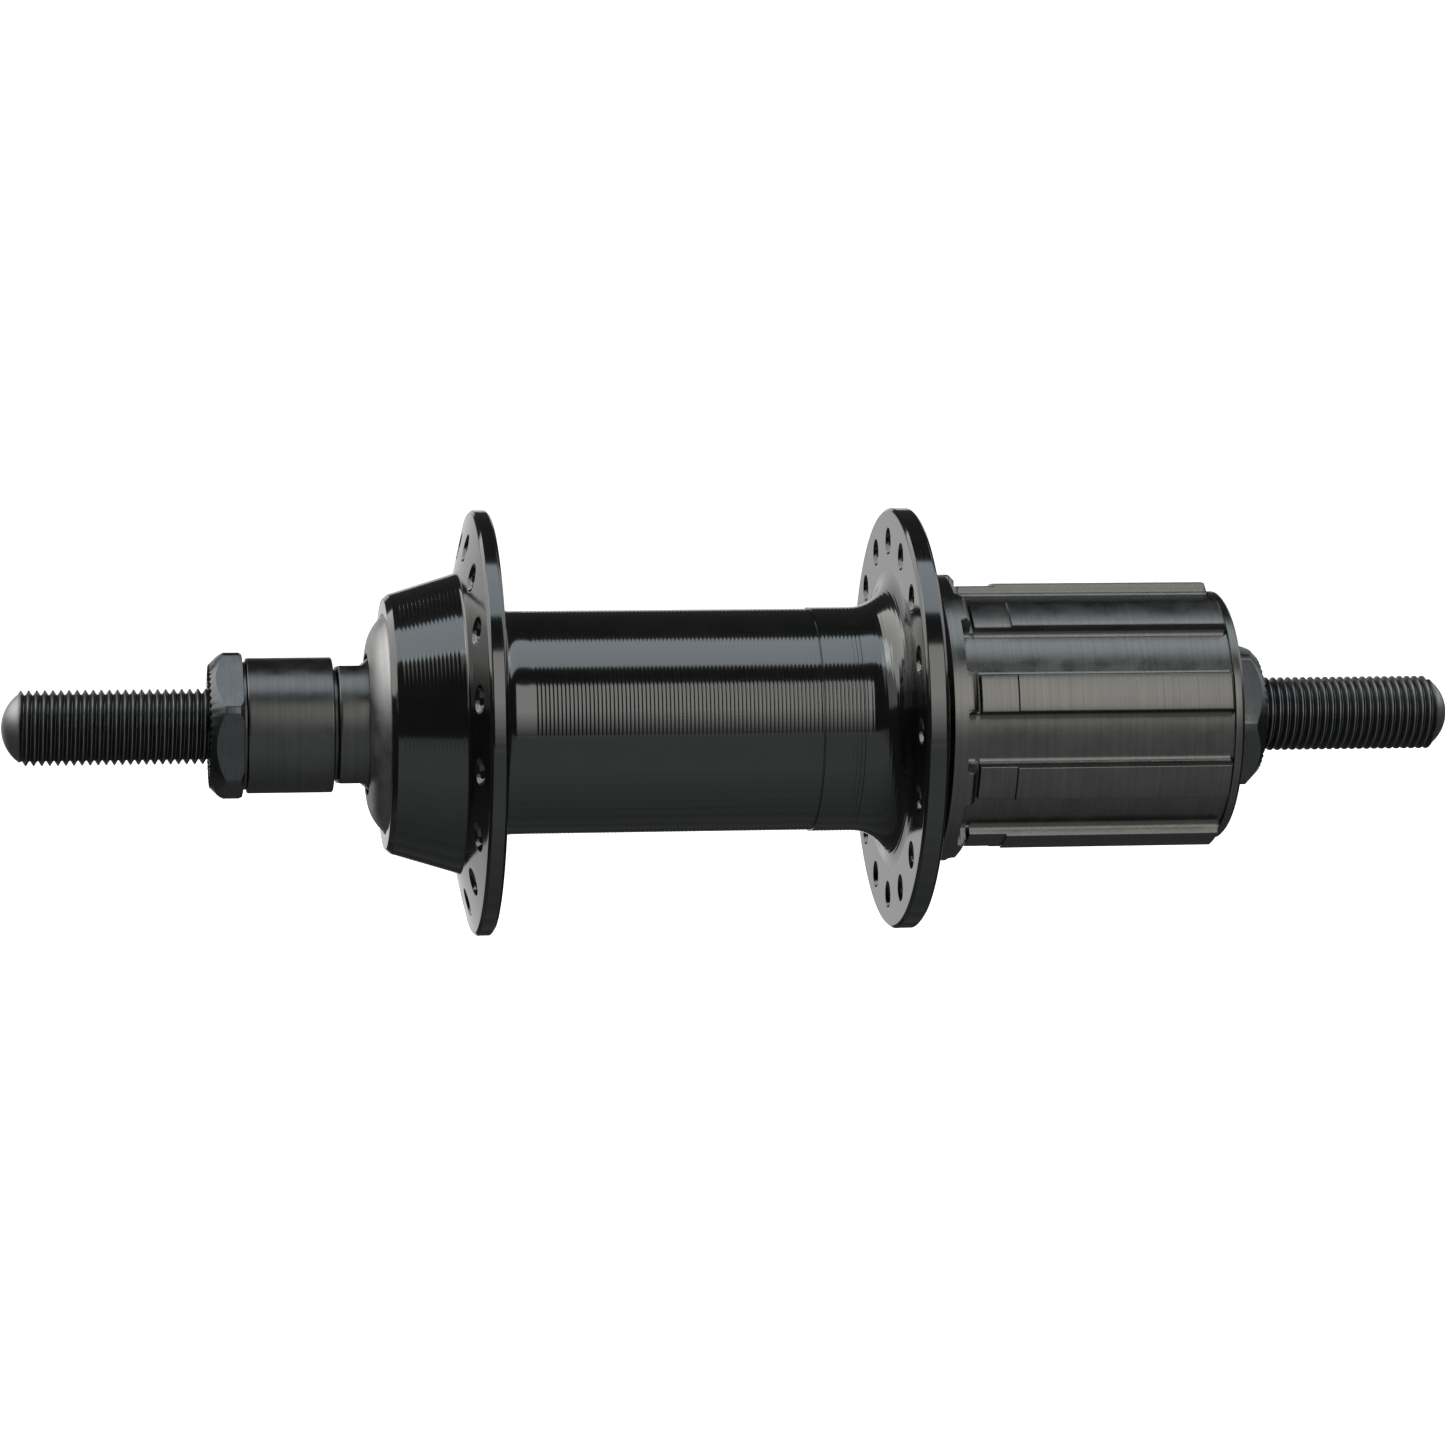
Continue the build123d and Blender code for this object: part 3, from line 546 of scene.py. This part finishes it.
def build_shell():
    """Shell: rim, grooved shoulder, two drilled flanges and a grooved barrel with a flare."""
    rim_y = high("hub_shell").y
    end_y = low("hub_shell").y
    flange_r = high("hub_shell").x
    rows = []
    marks = {}

    def put(new_rows):
        for row in new_rows:
            if not rows or hypot(row[0] - rows[-1][0], row[1] - rows[-1][1]) > 1e-4:
                rows.append(row)

    # rim of the mouth and the conical shoulder
    cone_start, cone_end = (rim_y - 1.2, 16.6), (ROOT_Y + 0.7, 18.88)
    put([(rim_y - 0.3, MOUTH_RADIUS), (rim_y - 0.06, MOUTH_RADIUS), (rim_y, 14.0)])
    put(rounded([(rim_y, 14.6, 0), (rim_y, 15.85, 0.12), (rim_y - 0.7, 16.45, 0.12), (*cone_start, 0)], 5))
    put(scalloped(cone_start, cone_end, SHOULDER_SCALLOP))
    put(rounded([(*cone_end, 0), (ROOT_Y, ROOT_RADIUS, 1.0), (left_slope(20.4), 20.4, 0)], 8))
    put([(left_slope(20.5), 20.5)])
    # left flange
    marks["left_in"] = len(rows) - 1
    put([(left_slope(flange_r - 1.0), flange_r - 1.0)])
    marks["left_out"] = len(rows) - 1
    put(flange_rim(left_slope(flange_r - 0.9), LEFT_FACE, LEFT_BACK, flange_r))
    put([(LEFT_BACK, flange_r - 0.7)])
    marks["left_back_out"] = len(rows) - 1
    put([(LEFT_BACK, BARREL + BACK_FILLET + 0.2)])
    marks["left_back_in"] = len(rows) - 1
    put(arc_rows((LEFT_BACK - BACK_FILLET, BARREL + BACK_FILLET), BACK_FILLET, 0, -90, 14))
    # grooved barrel with a small step
    step_y = BARREL_STEP_Y
    put([(SMOOTH_START, BARREL), (SMOOTH_END, BARREL)])
    put(scalloped((SMOOTH_END, BARREL), (step_y + 0.35, BARREL), BARREL_SCALLOP))
    put([(step_y + 0.2, BARREL), (step_y + 0.12, BARREL - 0.08), (step_y + 0.04, BARREL - 0.08)])
    put([(step_y - 0.02, BARREL_RIGHT)])
    put(scalloped((step_y - 0.05, BARREL_RIGHT), (RIGHT_FACE + FLARE, BARREL_RIGHT), BARREL_SCALLOP))
    put(arc_rows((RIGHT_FACE + FLARE, BARREL_RIGHT + FLARE), FLARE, -90, -180, 14, FLARE_SCALLOP))
    # right flange
    put([(RIGHT_FACE, BARREL_RIGHT + FLARE + 0.2)])
    marks["right_in"] = len(rows) - 1
    put([(RIGHT_FACE, flange_r - 1.0)])
    marks["right_out"] = len(rows) - 1
    put(flange_rim(RIGHT_FACE, RIGHT_FACE, RIGHT_BACK, flange_r))
    put([(RIGHT_BACK, flange_r - 0.7)])
    marks["right_back_out"] = len(rows) - 1
    put([(RIGHT_BACK, 16.4)])
    marks["right_back_in"] = len(rows) - 1
    put(rounded([(RIGHT_BACK, 16.2, 0), (RIGHT_BACK, 15.0, 0.6), (end_y, 15.0, 0.1), (end_y, 14.4, 0)], 5))
    # stepped bore
    put([(end_y, 10.83), (-16.5, 10.83), (-16.5, 10.0), (-16.5, 8.13), (-11.5, 8.13), (-11.5, 11.0)])
    inner_step = low("left_bearing_cup").y - 0.01
    put([(inner_step, 11.0), (inner_step, MOUTH_RADIUS)])

    turns = around(SHELL_COLUMNS, RIGHT_PHASE)
    points = spin_points(rows, turns)
    count = len(rows)
    # the flange faces are left out here, and built with their holes below
    drilled = [marks[name] for name in ("left_in", "left_back_out", "right_in", "right_back_out")]
    faces = []
    for i in range(count):
        if i in drilled:
            continue
        a, b = i * SHELL_COLUMNS, (i + 1) % count * SHELL_COLUMNS
        for j in range(SHELL_COLUMNS):
            k = (j + 1) % SHELL_COLUMNS
            faces.append((a + j, a + k, b + k, b + j))
    half_wedge = SHELL_COLUMNS // SPOKES // 2
    for side, phase, first_column, face_height, back_y in (
        ("left", LEFT_PHASE, 0, left_slope, LEFT_BACK),
        ("right", RIGHT_PHASE, -half_wedge, lambda r: RIGHT_FACE, RIGHT_BACK),
    ):
        starts = {end: marks[side + end] * SHELL_COLUMNS for end in ("_in", "_out", "_back_in", "_back_out")}
        front = flange_face(
            points, faces, face_height, -1, starts["_in"], starts["_out"], phase, first_column
        )
        rear = flange_face(
            points, faces, lambda r: back_y, 1, starts["_back_in"], starts["_back_out"], phase, first_column
        )
        for a, b in zip(front, rear):
            # pick the turn of the rear ring that lines up with the front one
            best = min(range(len(b)), key=lambda k: (Vector(points[b[k]]) - Vector(points[a[0]])).length)
            b = b[best:] + b[:best]
            for k in range(len(a)):
                m = (k + 1) % len(a)
                faces.append((a[k], a[m], b[m], b[k]))
    return make_object("hub_shell_turned", points, faces, "shell", "shell_black", ["hub_shell"], 32)


# ------------------------------------------------------------------ cassette body
RIBS = 9
RIB_TURN = 10.0
RIB_WIDTH = 4.7
WIDE_RIB = 6.0
RIB_CREST = 17.2
RELIEVED_CREST = 16.9
SPLINE_FLOOR = 15.6
END_RING = 16.0
TOOL_GROOVE = 15.93
ROOT_ROUNDING = 0.9
EDGE_ROUNDING = 0.12
GROOVE_CORNER = 0.65
# stations along the body, from the axle's middle towards the drive side
BODY_START = 24.0
GROOVE_START = 26.3
BODY_END = 62.35


def star(crest, floor, root, edge):
    """Outline of the ribbed body in the (x, z) plane: nine ribs, one of them wide."""
    flanks = []
    for index in range(RIBS):
        half = (WIDE_RIB if index == 0 else RIB_WIDTH) / 2
        # half a rib: u runs across it and v outwards
        lean = atan2(half - edge, crest)
        flank = [(crest * sin(lean * k / 4), crest * cos(lean * k / 4)) for k in range(5)]
        top = sqrt(crest**2 - half**2)
        before, corner, after = flank[-1], (half, top), (half, top - edge)
        for k in range(1, 5):
            t = k / 4
            flank.append(tuple(
                before[n] * (1 - t) ** 2 + corner[n] * 2 * t * (1 - t) + after[n] * t * t for n in (0, 1)
            ))
        room = max(0.02, min(root, (top - edge) - sqrt(max(0.0, (floor + 0.02) ** 2 - half**2)) - 0.02))
        centre = (half + room, sqrt((floor + room) ** 2 - (half + room) ** 2))
        meet = (centre[0] * floor / (floor + room), centre[1] * floor / (floor + room))
        end_a = atan2(meet[1] - centre[1], meet[0] - centre[0]) % (2 * pi)
        for k in range(9):
            a = pi + (end_a - pi) * k / 8
            flank.append((centre[0] + room * cos(a), centre[1] + room * sin(a)))
        # floor up to the middle of the groove
        start_t = atan2(meet[0], meet[1])
        for k in range(1, 7):
            a = start_t + (radians(180 / RIBS) - start_t) * k / 6
            flank.append((floor * sin(a), floor * cos(a)))
        flanks.append(flank)
    outline = []
    for index, right in enumerate(flanks):
        turn = radians(RIB_TURN + index * 360 / RIBS)
        left = [(-u, v) for u, v in right[1:-1]][::-1]
        outline += [(v * cos(turn) - u * sin(turn), v * sin(turn) + u * cos(turn)) for u, v in left + right]
    return outline


def build_cassette_body():
    """Splined steel body with grooves that bite into the shoulder ring and a plain end ring."""
    node = "freehub_body"
    start = high(node).y
    ring = high(node).z
    floor = SPLINE_FLOOR

    def at(station):
        return start - (station - BODY_START)

    angles = [atan2(z, x) for x, z in star(RIB_CREST, floor, ROOT_ROUNDING, EDGE_ROUNDING)]
    rows = []

    def circle(station, radius):
        rows.append([(radius * cos(a), at(station), radius * sin(a)) for a in angles])

    def beside_rib(angle):
        """Distance across a groove from the flank of the nearest rib."""
        index = round((degrees(angle) - RIB_TURN) * RIBS / 360) % RIBS
        off = (degrees(angle) - RIB_TURN - index * 360 / RIBS + 180) % 360 - 180
        return floor * sin(radians(abs(off))) - (WIDE_RIB if index == 0 else RIB_WIDTH) / 2

    # how far the start of each groove is held back near its corners
    inset = []
    for a in angles:
        into = max(0.0, GROOVE_CORNER - max(0.0, beside_rib(a)))
        inset.append(GROOVE_CORNER - sqrt(GROOVE_CORNER**2 - into**2) if beside_rib(a) > -0.3 else 0.0)

    def ribbed(station, top, bottom=floor, root=ROOT_ROUNDING, edge=EDGE_ROUNDING, curve=0.0):
        outline = star(top, bottom, root, edge)
        rows.append([(x, at(station + curve * back), z) for (x, z), back in zip(outline, inset)])

    # shoulder ring, with the grooves starting part of the way along it
    for station, radius in [(BODY_START, 17.6)] + rounded(
        [(BODY_START, 17.6, 0), (BODY_START, 17.9, 0.1), (24.5, 18.4, 0.12), (25.0, 18.4, 0)]
    )[1:-1] + [(25.0, ring), (25.1, ring), (26.2, ring), (26.28, ring)]:
        circle(station, radius)
    for past, share in ((0.0, 0.0), (0.04, 0.35), (0.1, 0.7), (0.2, 0.92), (0.32, 1.0)):
        bottom = ring - 0.1 - (ring - 0.1 - floor) * share
        ribbed(GROOVE_START + past, ring, bottom, 0.1 + 0.8 * share, EDGE_ROUNDING, 1.0 - past)
    for row in (
        # slope down from the ring, and the tool groove beside it
        (27.0, ring), (27.06, ring - 0.02), (27.64, ring - 0.64), (27.7, ring - 0.78),
        (27.7, 16.0, floor, 0.3, 0.05), (27.74, TOOL_GROOVE, floor, 0.25, 0.05),
        (28.22, TOOL_GROOVE, floor, 0.25, 0.05), (28.25, 16.0, floor, 0.3, 0.05),
        # relieved start of the ribs
        (28.25, RELIEVED_CREST - 0.12), (28.29, RELIEVED_CREST - 0.03), (28.37, RELIEVED_CREST),
        (28.45, RELIEVED_CREST), (32.9, RELIEVED_CREST), (32.97, RELIEVED_CREST),
        # full ribs, and their bevelled ends
        (33.0, RELIEVED_CREST + 0.03), (33.02, RIB_CREST - 0.08), (33.1, RIB_CREST), (33.2, RIB_CREST),
        (60.4, RIB_CREST), (60.5, RIB_CREST), (60.58, RIB_CREST - 0.03), (60.66, RIB_CREST - 0.1),
        (61.02, floor + 0.25, floor, 0.1, 0.05), (61.1, floor + 0.1, floor, 0.03, 0.02),
    ):
        ribbed(*row)
    circle(61.12, floor + 0.1)
    end_profile = [
        (61.12, floor + 0.1, 0), (61.12, END_RING, 0.08), (62.0, END_RING, 0.12),
        (BODY_END, END_RING - 0.35, 0.1), (BODY_END, 15.0, 0),
    ]
    # the bore runs from the mouth back to the inboard end
    bore = [
        (BODY_END, 14.8), (62.25, 14.7), (53.4, 14.7), (53.4, 14.54), (52.6, 14.54), (51.4, 14.1),
        (51.0, 13.32), (39.4, 13.32), (32.6, 13.32), (31.6, 13.32), (31.2, 14.1), (30.0, 14.54),
        (BODY_START, 14.54),
    ]
    for station, radius in rounded(end_profile)[1:] + bore:
        circle(station, radius)
    points = [p for row in rows for p in row]
    faces = grid_faces(len(rows), len(angles), closed=True)
    return make_object("freehub_body_splined", points, faces, "freehub", "freehub_steel", [node], 34)


# ------------------------------------------------------------------ materials
# how far the lathe marks drift round the axle, and how much they change the colour
WANDER = 0.012
LINE_SPREAD = 0.12


def new_material(name):
    """Material with its node tree and its main shader."""
    material = bpy.data.materials.new(name)
    material.use_nodes = True
    tree = material.node_tree
    shader = tree.nodes["Principled BSDF"]
    return material, tree, shader


def feed(tree, values, node):
    """Gives a node its inputs, each a socket or a number."""
    for socket, value in zip(node.inputs, values):
        if isinstance(value, (int, float)):
            socket.default_value = value
        else:
            tree.links.new(value, socket)
    return node.outputs[0]


def math_node(tree, operation, *values):
    node = tree.nodes.new("ShaderNodeMath")
    node.operation = operation
    return feed(tree, values, node)


def weighted(tree, a, share_a, b, share_b):
    """Sum of two sockets, each with its own weight."""
    return math_node(
        tree, "ADD", math_node(tree, "MULTIPLY", a, share_a), math_node(tree, "MULTIPLY", b, share_b)
    )


def object_space(tree):
    """Object coordinates in millimetres: the vector, y, and the radius from the axle; then x and z."""
    coords = tree.nodes.new("ShaderNodeTexCoord")
    scale = tree.nodes.new("ShaderNodeVectorMath")
    scale.operation = "SCALE"
    scale.inputs["Scale"].default_value = 1 / MM
    tree.links.new(coords.outputs["Object"], scale.inputs[0])
    split = tree.nodes.new("ShaderNodeSeparateXYZ")
    tree.links.new(scale.outputs[0], split.inputs[0])
    x, y, z = split.outputs
    square = math_node(tree, "ADD", math_node(tree, "MULTIPLY", x, x), math_node(tree, "MULTIPLY", z, z))
    return scale.outputs[0], y, math_node(tree, "SQRT", square), x, z


def noise(tree, vector, scale, detail, rough=0.6):
    """Cloudy noise between 0 and 1, its scale in bumps per millimetre."""
    node = tree.nodes.new("ShaderNodeTexNoise")
    node.inputs["Scale"].default_value = scale
    node.inputs["Detail"].default_value = detail
    node.inputs["Roughness"].default_value = rough
    tree.links.new(vector, node.inputs["Vector"])
    return node.outputs["Fac"]


def ramp(tree, fac, stops):
    """Colour ramp from (position, colour) stops; a single number is a grey."""
    node = tree.nodes.new("ShaderNodeValToRGB")
    tree.links.new(fac, node.inputs[0])
    elements = node.color_ramp.elements
    while len(elements) < len(stops):
        elements.new(0.5)
    for element, (position, colour) in zip(elements, stops):
        element.position = position
        if isinstance(colour, (int, float)):
            colour = (colour, colour, colour)
        element.color = (*colour, 1.0)
    return node.outputs[0]


def bump(tree, height, distance, after=None):
    """Bump node, its distance in millimetres."""
    node = tree.nodes.new("ShaderNodeBump")
    node.inputs["Strength"].default_value = 1.0
    node.inputs["Distance"].default_value = distance * MM
    tree.links.new(height, node.inputs["Height"])
    if after is not None:
        tree.links.new(after, node.inputs["Normal"])
    return node.outputs[0]


def turned_lines(tree, y, radius, x, z, scale, detail=3.0):
    """Noise that only changes along the axle and outwards, like the marks of a lathe."""
    along = math_node(tree, "ADD", y, math_node(tree, "MULTIPLY", x, WANDER))
    outward = math_node(tree, "ADD", radius, math_node(tree, "MULTIPLY", z, WANDER))
    vector = feed(tree, (along, outward, 0.0), tree.nodes.new("ShaderNodeCombineXYZ"))
    return noise(tree, vector, scale, detail)


def metal(name, colour, rough, line_depth, mottle=0.1, grain_depth=0.0, rough_spread=0.08):
    """Turned metal: lathe marks, cloudy colour and roughness that vary a little."""
    material, tree, shader = new_material(name)
    space, y, radius, x, z = object_space(tree)
    lines = turned_lines(tree, y, radius, x, z, 2.2)
    cloud = noise(tree, space, 0.35, 4.0)
    dark = tuple(c * (1 - LINE_SPREAD - mottle) for c in colour)
    light = tuple(c * (1 + LINE_SPREAD) for c in colour)
    both = LINE_SPREAD + mottle
    mixed = weighted(tree, lines, LINE_SPREAD / both, cloud, mottle / both)
    tree.links.new(ramp(tree, mixed, ((0.3, dark), (0.7, light))), shader.inputs["Base Color"])
    rough_stops = ((0.3, rough - rough_spread), (0.75, rough + rough_spread))
    tree.links.new(ramp(tree, cloud, rough_stops), shader.inputs["Roughness"])
    shader.inputs["Metallic"].default_value = 1.0
    normal = bump(tree, lines, line_depth)
    if grain_depth:
        normal = bump(tree, noise(tree, space, 6.0, 3.0), grain_depth, after=normal)
    tree.links.new(normal, shader.inputs["Normal"])
    return material


def black_gloss(name):
    """Black finish on turned metal: glossy, cleaner in some places than in others."""
    material, tree, shader = new_material(name)
    space, y, radius, x, z = object_space(tree)
    lines = turned_lines(tree, y, radius, x, z, 3.5)
    cloud = noise(tree, space, 0.25, 5.0, 0.62)
    tree.links.new(ramp(tree, cloud, ((0.35, 0.003), (0.75, 0.006))), shader.inputs["Base Color"])
    tree.links.new(ramp(tree, lines, ((0.3, 0.09), (0.7, 0.13))), shader.inputs["Roughness"])
    shader.inputs["Metallic"].default_value = 0.0
    shader.inputs["IOR"].default_value = 1.7
    tree.links.new(bump(tree, lines, 0.0008), shader.inputs["Normal"])
    return material


def greased_steel(name):
    """Dark phosphate-coated steel with turning lines and faint smears of grease."""
    material, tree, shader = new_material(name)
    space, y, radius, x, z = object_space(tree)
    lines = turned_lines(tree, y, radius, x, z, 2.6, 2.0)
    smear = noise(tree, space, 0.3, 4.0, 0.55)
    grit = noise(tree, space, 3.0, 3.0)
    mixed = weighted(tree, smear, 0.5, lines, 0.5)
    stops = ((0.3, (0.082, 0.081, 0.080)), (0.5, (0.104, 0.102, 0.098)), (0.7, (0.126, 0.123, 0.117)))
    tree.links.new(ramp(tree, mixed, stops), shader.inputs["Base Color"])
    tree.links.new(ramp(tree, smear, ((0.35, 0.25), (0.65, 0.33))), shader.inputs["Roughness"])
    shader.inputs["Metallic"].default_value = 1.0
    normal = bump(tree, lines, 0.008)
    normal = bump(tree, grit, 0.004, after=normal)
    tree.links.new(normal, shader.inputs["Normal"])
    return material


def axle_steel(name):
    """Dark greasy thread with lighter satin tips; its roots are painted darker than its crests as painted
    shade.
    """
    material, tree, shader = new_material(name)
    space, y, radius = object_space(tree)[:3]
    cloud = noise(tree, space, 0.8, 4.0)
    grain = noise(tree, space, 6.0, 3.0)
    tip_start = high("axle").y - DOME_HEIGHT - RUN_OUT / 2
    tip = math_node(tree, "GREATER_THAN", math_node(tree, "ABSOLUTE", y), tip_start)
    # painted shade: base colour is lighter on the thread crests than in the roots, standing in for shade
    # inside the thread
    crest = math_node(tree, "GREATER_THAN", radius, AXLE_RADIUS - 0.1)
    shade = math_node(tree, "ADD", weighted(tree, cloud, 0.06, crest, 0.06), 0.05)
    shade = math_node(tree, "ADD", shade, math_node(tree, "MULTIPLY", tip, 0.17))
    tree.links.new(ramp(tree, shade, ((0.0, 0.0), (1.0, 1.0))), shader.inputs["Base Color"])
    rough = math_node(tree, "ADD", math_node(tree, "MULTIPLY", tip, 0.06), 0.38)
    tree.links.new(ramp(tree, rough, ((0.0, 0.0), (1.0, 1.0))), shader.inputs["Roughness"])
    shader.inputs["Metallic"].default_value = 1.0
    tree.links.new(bump(tree, grain, 0.008), shader.inputs["Normal"])
    return material


def rubber(name):
    """Black rubber with a fine grain."""
    material, tree, shader = new_material(name)
    grain = noise(tree, object_space(tree)[0], 8.0, 3.0)
    tree.links.new(ramp(tree, grain, ((0.3, 0.018), (0.7, 0.035))), shader.inputs["Base Color"])
    tree.links.new(ramp(tree, grain, ((0.3, 0.55), (0.7, 0.75))), shader.inputs["Roughness"])
    tree.links.new(bump(tree, grain, 0.02), shader.inputs["Normal"])
    return material


MATERIALS = {
    "axle_steel": axle_steel("axle_satin_steel"),
    "nut_steel": metal("nut_plated_steel", (0.088, 0.091, 0.095), 0.32, 0.003, grain_depth=0.006),
    "cone_steel": metal("cone_dark_steel", (0.092, 0.090, 0.090), 0.34, 0.004),
    "shell_black": black_gloss("shell_black_gloss"),
    "cap_steel": metal("cap_satin_nickel", (0.30, 0.30, 0.30), 0.46, 0.003),
    "race_steel": metal("race_ground_steel", (0.35, 0.35, 0.36), 0.25, 0.002),
    "freehub_steel": greased_steel("cassette_body_steel"),
    "ball_steel": metal("ball_polished_steel", (0.72, 0.72, 0.74), 0.07, 0.0, 0.04, rough_spread=0.02),
    "seal_rubber": rubber("seal_black_rubber"),
}

# ------------------------------------------------------------------ build
LEFT_NUT_TURN = 48.0
RIGHT_NUT_TURN = 9.9
build_axle()
build_locknut("left_locknut", 1, LEFT_NUT_TURN)
build_locknut("right_locknut", -1, RIGHT_NUT_TURN)
build_washers()
build_left_cone()
build_dust_cap()
build_shell()
build_cassette_body()

slot_of = {row["node"]: row["material_slot"] for row in frame["record"]["subparts"]}
for name, node in nodes.items():
    node.data.materials.clear()
    node.data.materials.append(MATERIALS[slot_of[name]])
for piece in bpy.context.scene.objects:
    if piece.type == "MESH" and piece.name not in nodes:
        piece.data.materials.clear()
        piece.data.materials.append(MATERIALS[piece["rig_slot"]])

# ------------------------------------------------------------------ camera
YAW = radians(8.363)
ROLL = radians(0.683)
DISTANCE = 584.0
SHIFT_RIGHT = -2.12
SHIFT_UP = -0.298
LENS = 113.78

forward = Vector((cos(YAW), -sin(YAW), 0.0))
right = Vector((-sin(YAW), -cos(YAW), 0.0))
up = Vector((0.0, 0.0, 1.0))
rolled_right = right * cos(ROLL) - up * sin(ROLL)
rolled_up = right * sin(ROLL) + up * cos(ROLL)
camera_data = bpy.data.cameras.new("camera")
camera_data.lens = LENS
camera_data.sensor_width = 36.0
camera_data.clip_start = 0.01
camera_data.clip_end = 50.0
camera = bpy.data.objects.new("camera", camera_data)
place = (right * SHIFT_RIGHT + up * SHIFT_UP - forward * DISTANCE) * MM
camera.matrix_world = Matrix((
    (rolled_right.x, rolled_up.x, -forward.x, place.x),
    (rolled_right.y, rolled_up.y, -forward.y, place.y),
    (rolled_right.z, rolled_up.z, -forward.z, place.z),
    (0, 0, 0, 1),
))
bpy.context.scene.collection.objects.link(camera)
bpy.context.scene.camera = camera

# ------------------------------------------------------------------ floor and light
FLOOR_DROP = 60.0
WORLD_STRENGTH = 0.045


def build_floor():
    """Pale floor that sweeps up into a backdrop, all round, its sizes in metres."""
    radius, bend, wall = 1.2, 1.2, 1.0
    rows = [(0.0, 0.0), (radius, 0.0)]
    for k in range(1, 13):
        a = radians(90 * k / 12)
        rows.append((radius + bend * sin(a), bend * (1 - cos(a))))
    rows.append((radius + bend, bend + wall))
    count = 96
    base = (low("hub_shell").z - FLOOR_DROP) * MM
    points = [(r * cos(t), r * sin(t), base + h) for r, h in rows for t in around(count)]
    mesh = bpy.data.meshes.new("floor")
    mesh.from_pydata(points, [], grid_faces(len(rows), count))
    work = bmesh.new()
    work.from_mesh(mesh)
    bmesh.ops.remove_doubles(work, verts=work.verts, dist=1e-6)
    bmesh.ops.recalc_face_normals(work, faces=work.faces)
    bmesh.ops.reverse_faces(work, faces=work.faces)
    work.to_mesh(mesh)
    work.free()
    mesh.polygons.foreach_set("use_smooth", [True] * len(mesh.polygons))
    floor = bpy.data.objects.new("floor", mesh)
    bpy.context.scene.collection.objects.link(floor)
    material, _, shader = new_material("floor_paper")
    shader.inputs["Base Color"].default_value = (0.9, 0.9, 0.9, 1.0)
    shader.inputs["Roughness"].default_value = 0.9
    shader.inputs["Emission Color"].default_value = (1.0, 1.0, 1.0, 1.0)
    shader.inputs["Emission Strength"].default_value = 1.0
    mesh.materials.append(material)
    floor.visible_glossy = False
    floor.visible_diffuse = False


def soft_light(name, azimuth, heights, spread, distance, radiance, colour=(1, 1, 1)):
    """Rectangular soft light, distance metres away, that faces the hub and fills a range of angles.

    azimuth runs from +X towards +Y; heights are the lowest and highest angle above the
    horizon, and may pass straight over the hub; spread is the half angle to each side."""
    middle, half = radians(sum(heights) / 2), radians((heights[1] - heights[0]) / 2)
    data = bpy.data.lights.new(name, "AREA")
    data.shape = "RECTANGLE"
    data.size = 2 * distance * tan(radians(spread))
    data.size_y = 2 * distance * tan(half)
    data.energy = radiance * pi * data.size * data.size_y
    data.color = colour
    turn = radians(azimuth)
    outward = Vector((cos(turn) * cos(middle), sin(turn) * cos(middle), sin(middle)))
    side = Vector((-sin(turn), cos(turn), 0.0))
    rise = outward.cross(side)
    light = bpy.data.objects.new(name, data)
    light.matrix_world = Matrix((
        (side.x, rise.x, outward.x, outward.x * distance),
        (side.y, rise.y, outward.y, outward.y * distance),
        (side.z, rise.z, outward.z, outward.z * distance),
        (0, 0, 0, 1),
    ))
    light.visible_camera = False
    bpy.context.scene.collection.objects.link(light)


build_floor()
world = bpy.data.worlds.new("studio")
bpy.context.scene.world = world
world.use_nodes = True
background = world.node_tree.nodes["Background"]
background.inputs["Color"].default_value = (1.0, 1.0, 1.0, 1.0)
background.inputs["Strength"].default_value = WORLD_STRENGTH

COOL, WARM = (0.84, 0.94, 1.0), (1.0, 1.0, 0.96)
soft_light("overhead_strip", 180, (58, 93), 50, 0.9, 2.4, COOL)
# the front card fades out towards the table
for lowest in range(-15, 10, 4):
    soft_light(f"front_card_{lowest + 15}", 194, (lowest, 38), 15, 0.6, 0.343, WARM)
# the table is brightest in front of the hub and darkens underneath it
for lowest in (-56, -66, -77, -88, -99, -112, -130, -150):
    soft_light(f"table_card_{-lowest}", 188, (lowest, -14), 55, 1.0, 0.05, (0.93, 1.0, 1.0))
soft_light("left_card", 72, (16, 60), 29, 1.2, 2.5, WARM)
soft_light("left_fill_card", 118, (8, 50), 14, 1.2, 0.8, WARM)
soft_light("right_card", 285, (10, 50), 22, 1.2, 1.2)
soft_light("backdrop_card", 4, (-12, 20), 36, 1.6, 0.75)

bpy.context.scene.view_settings.view_transform = "Standard"
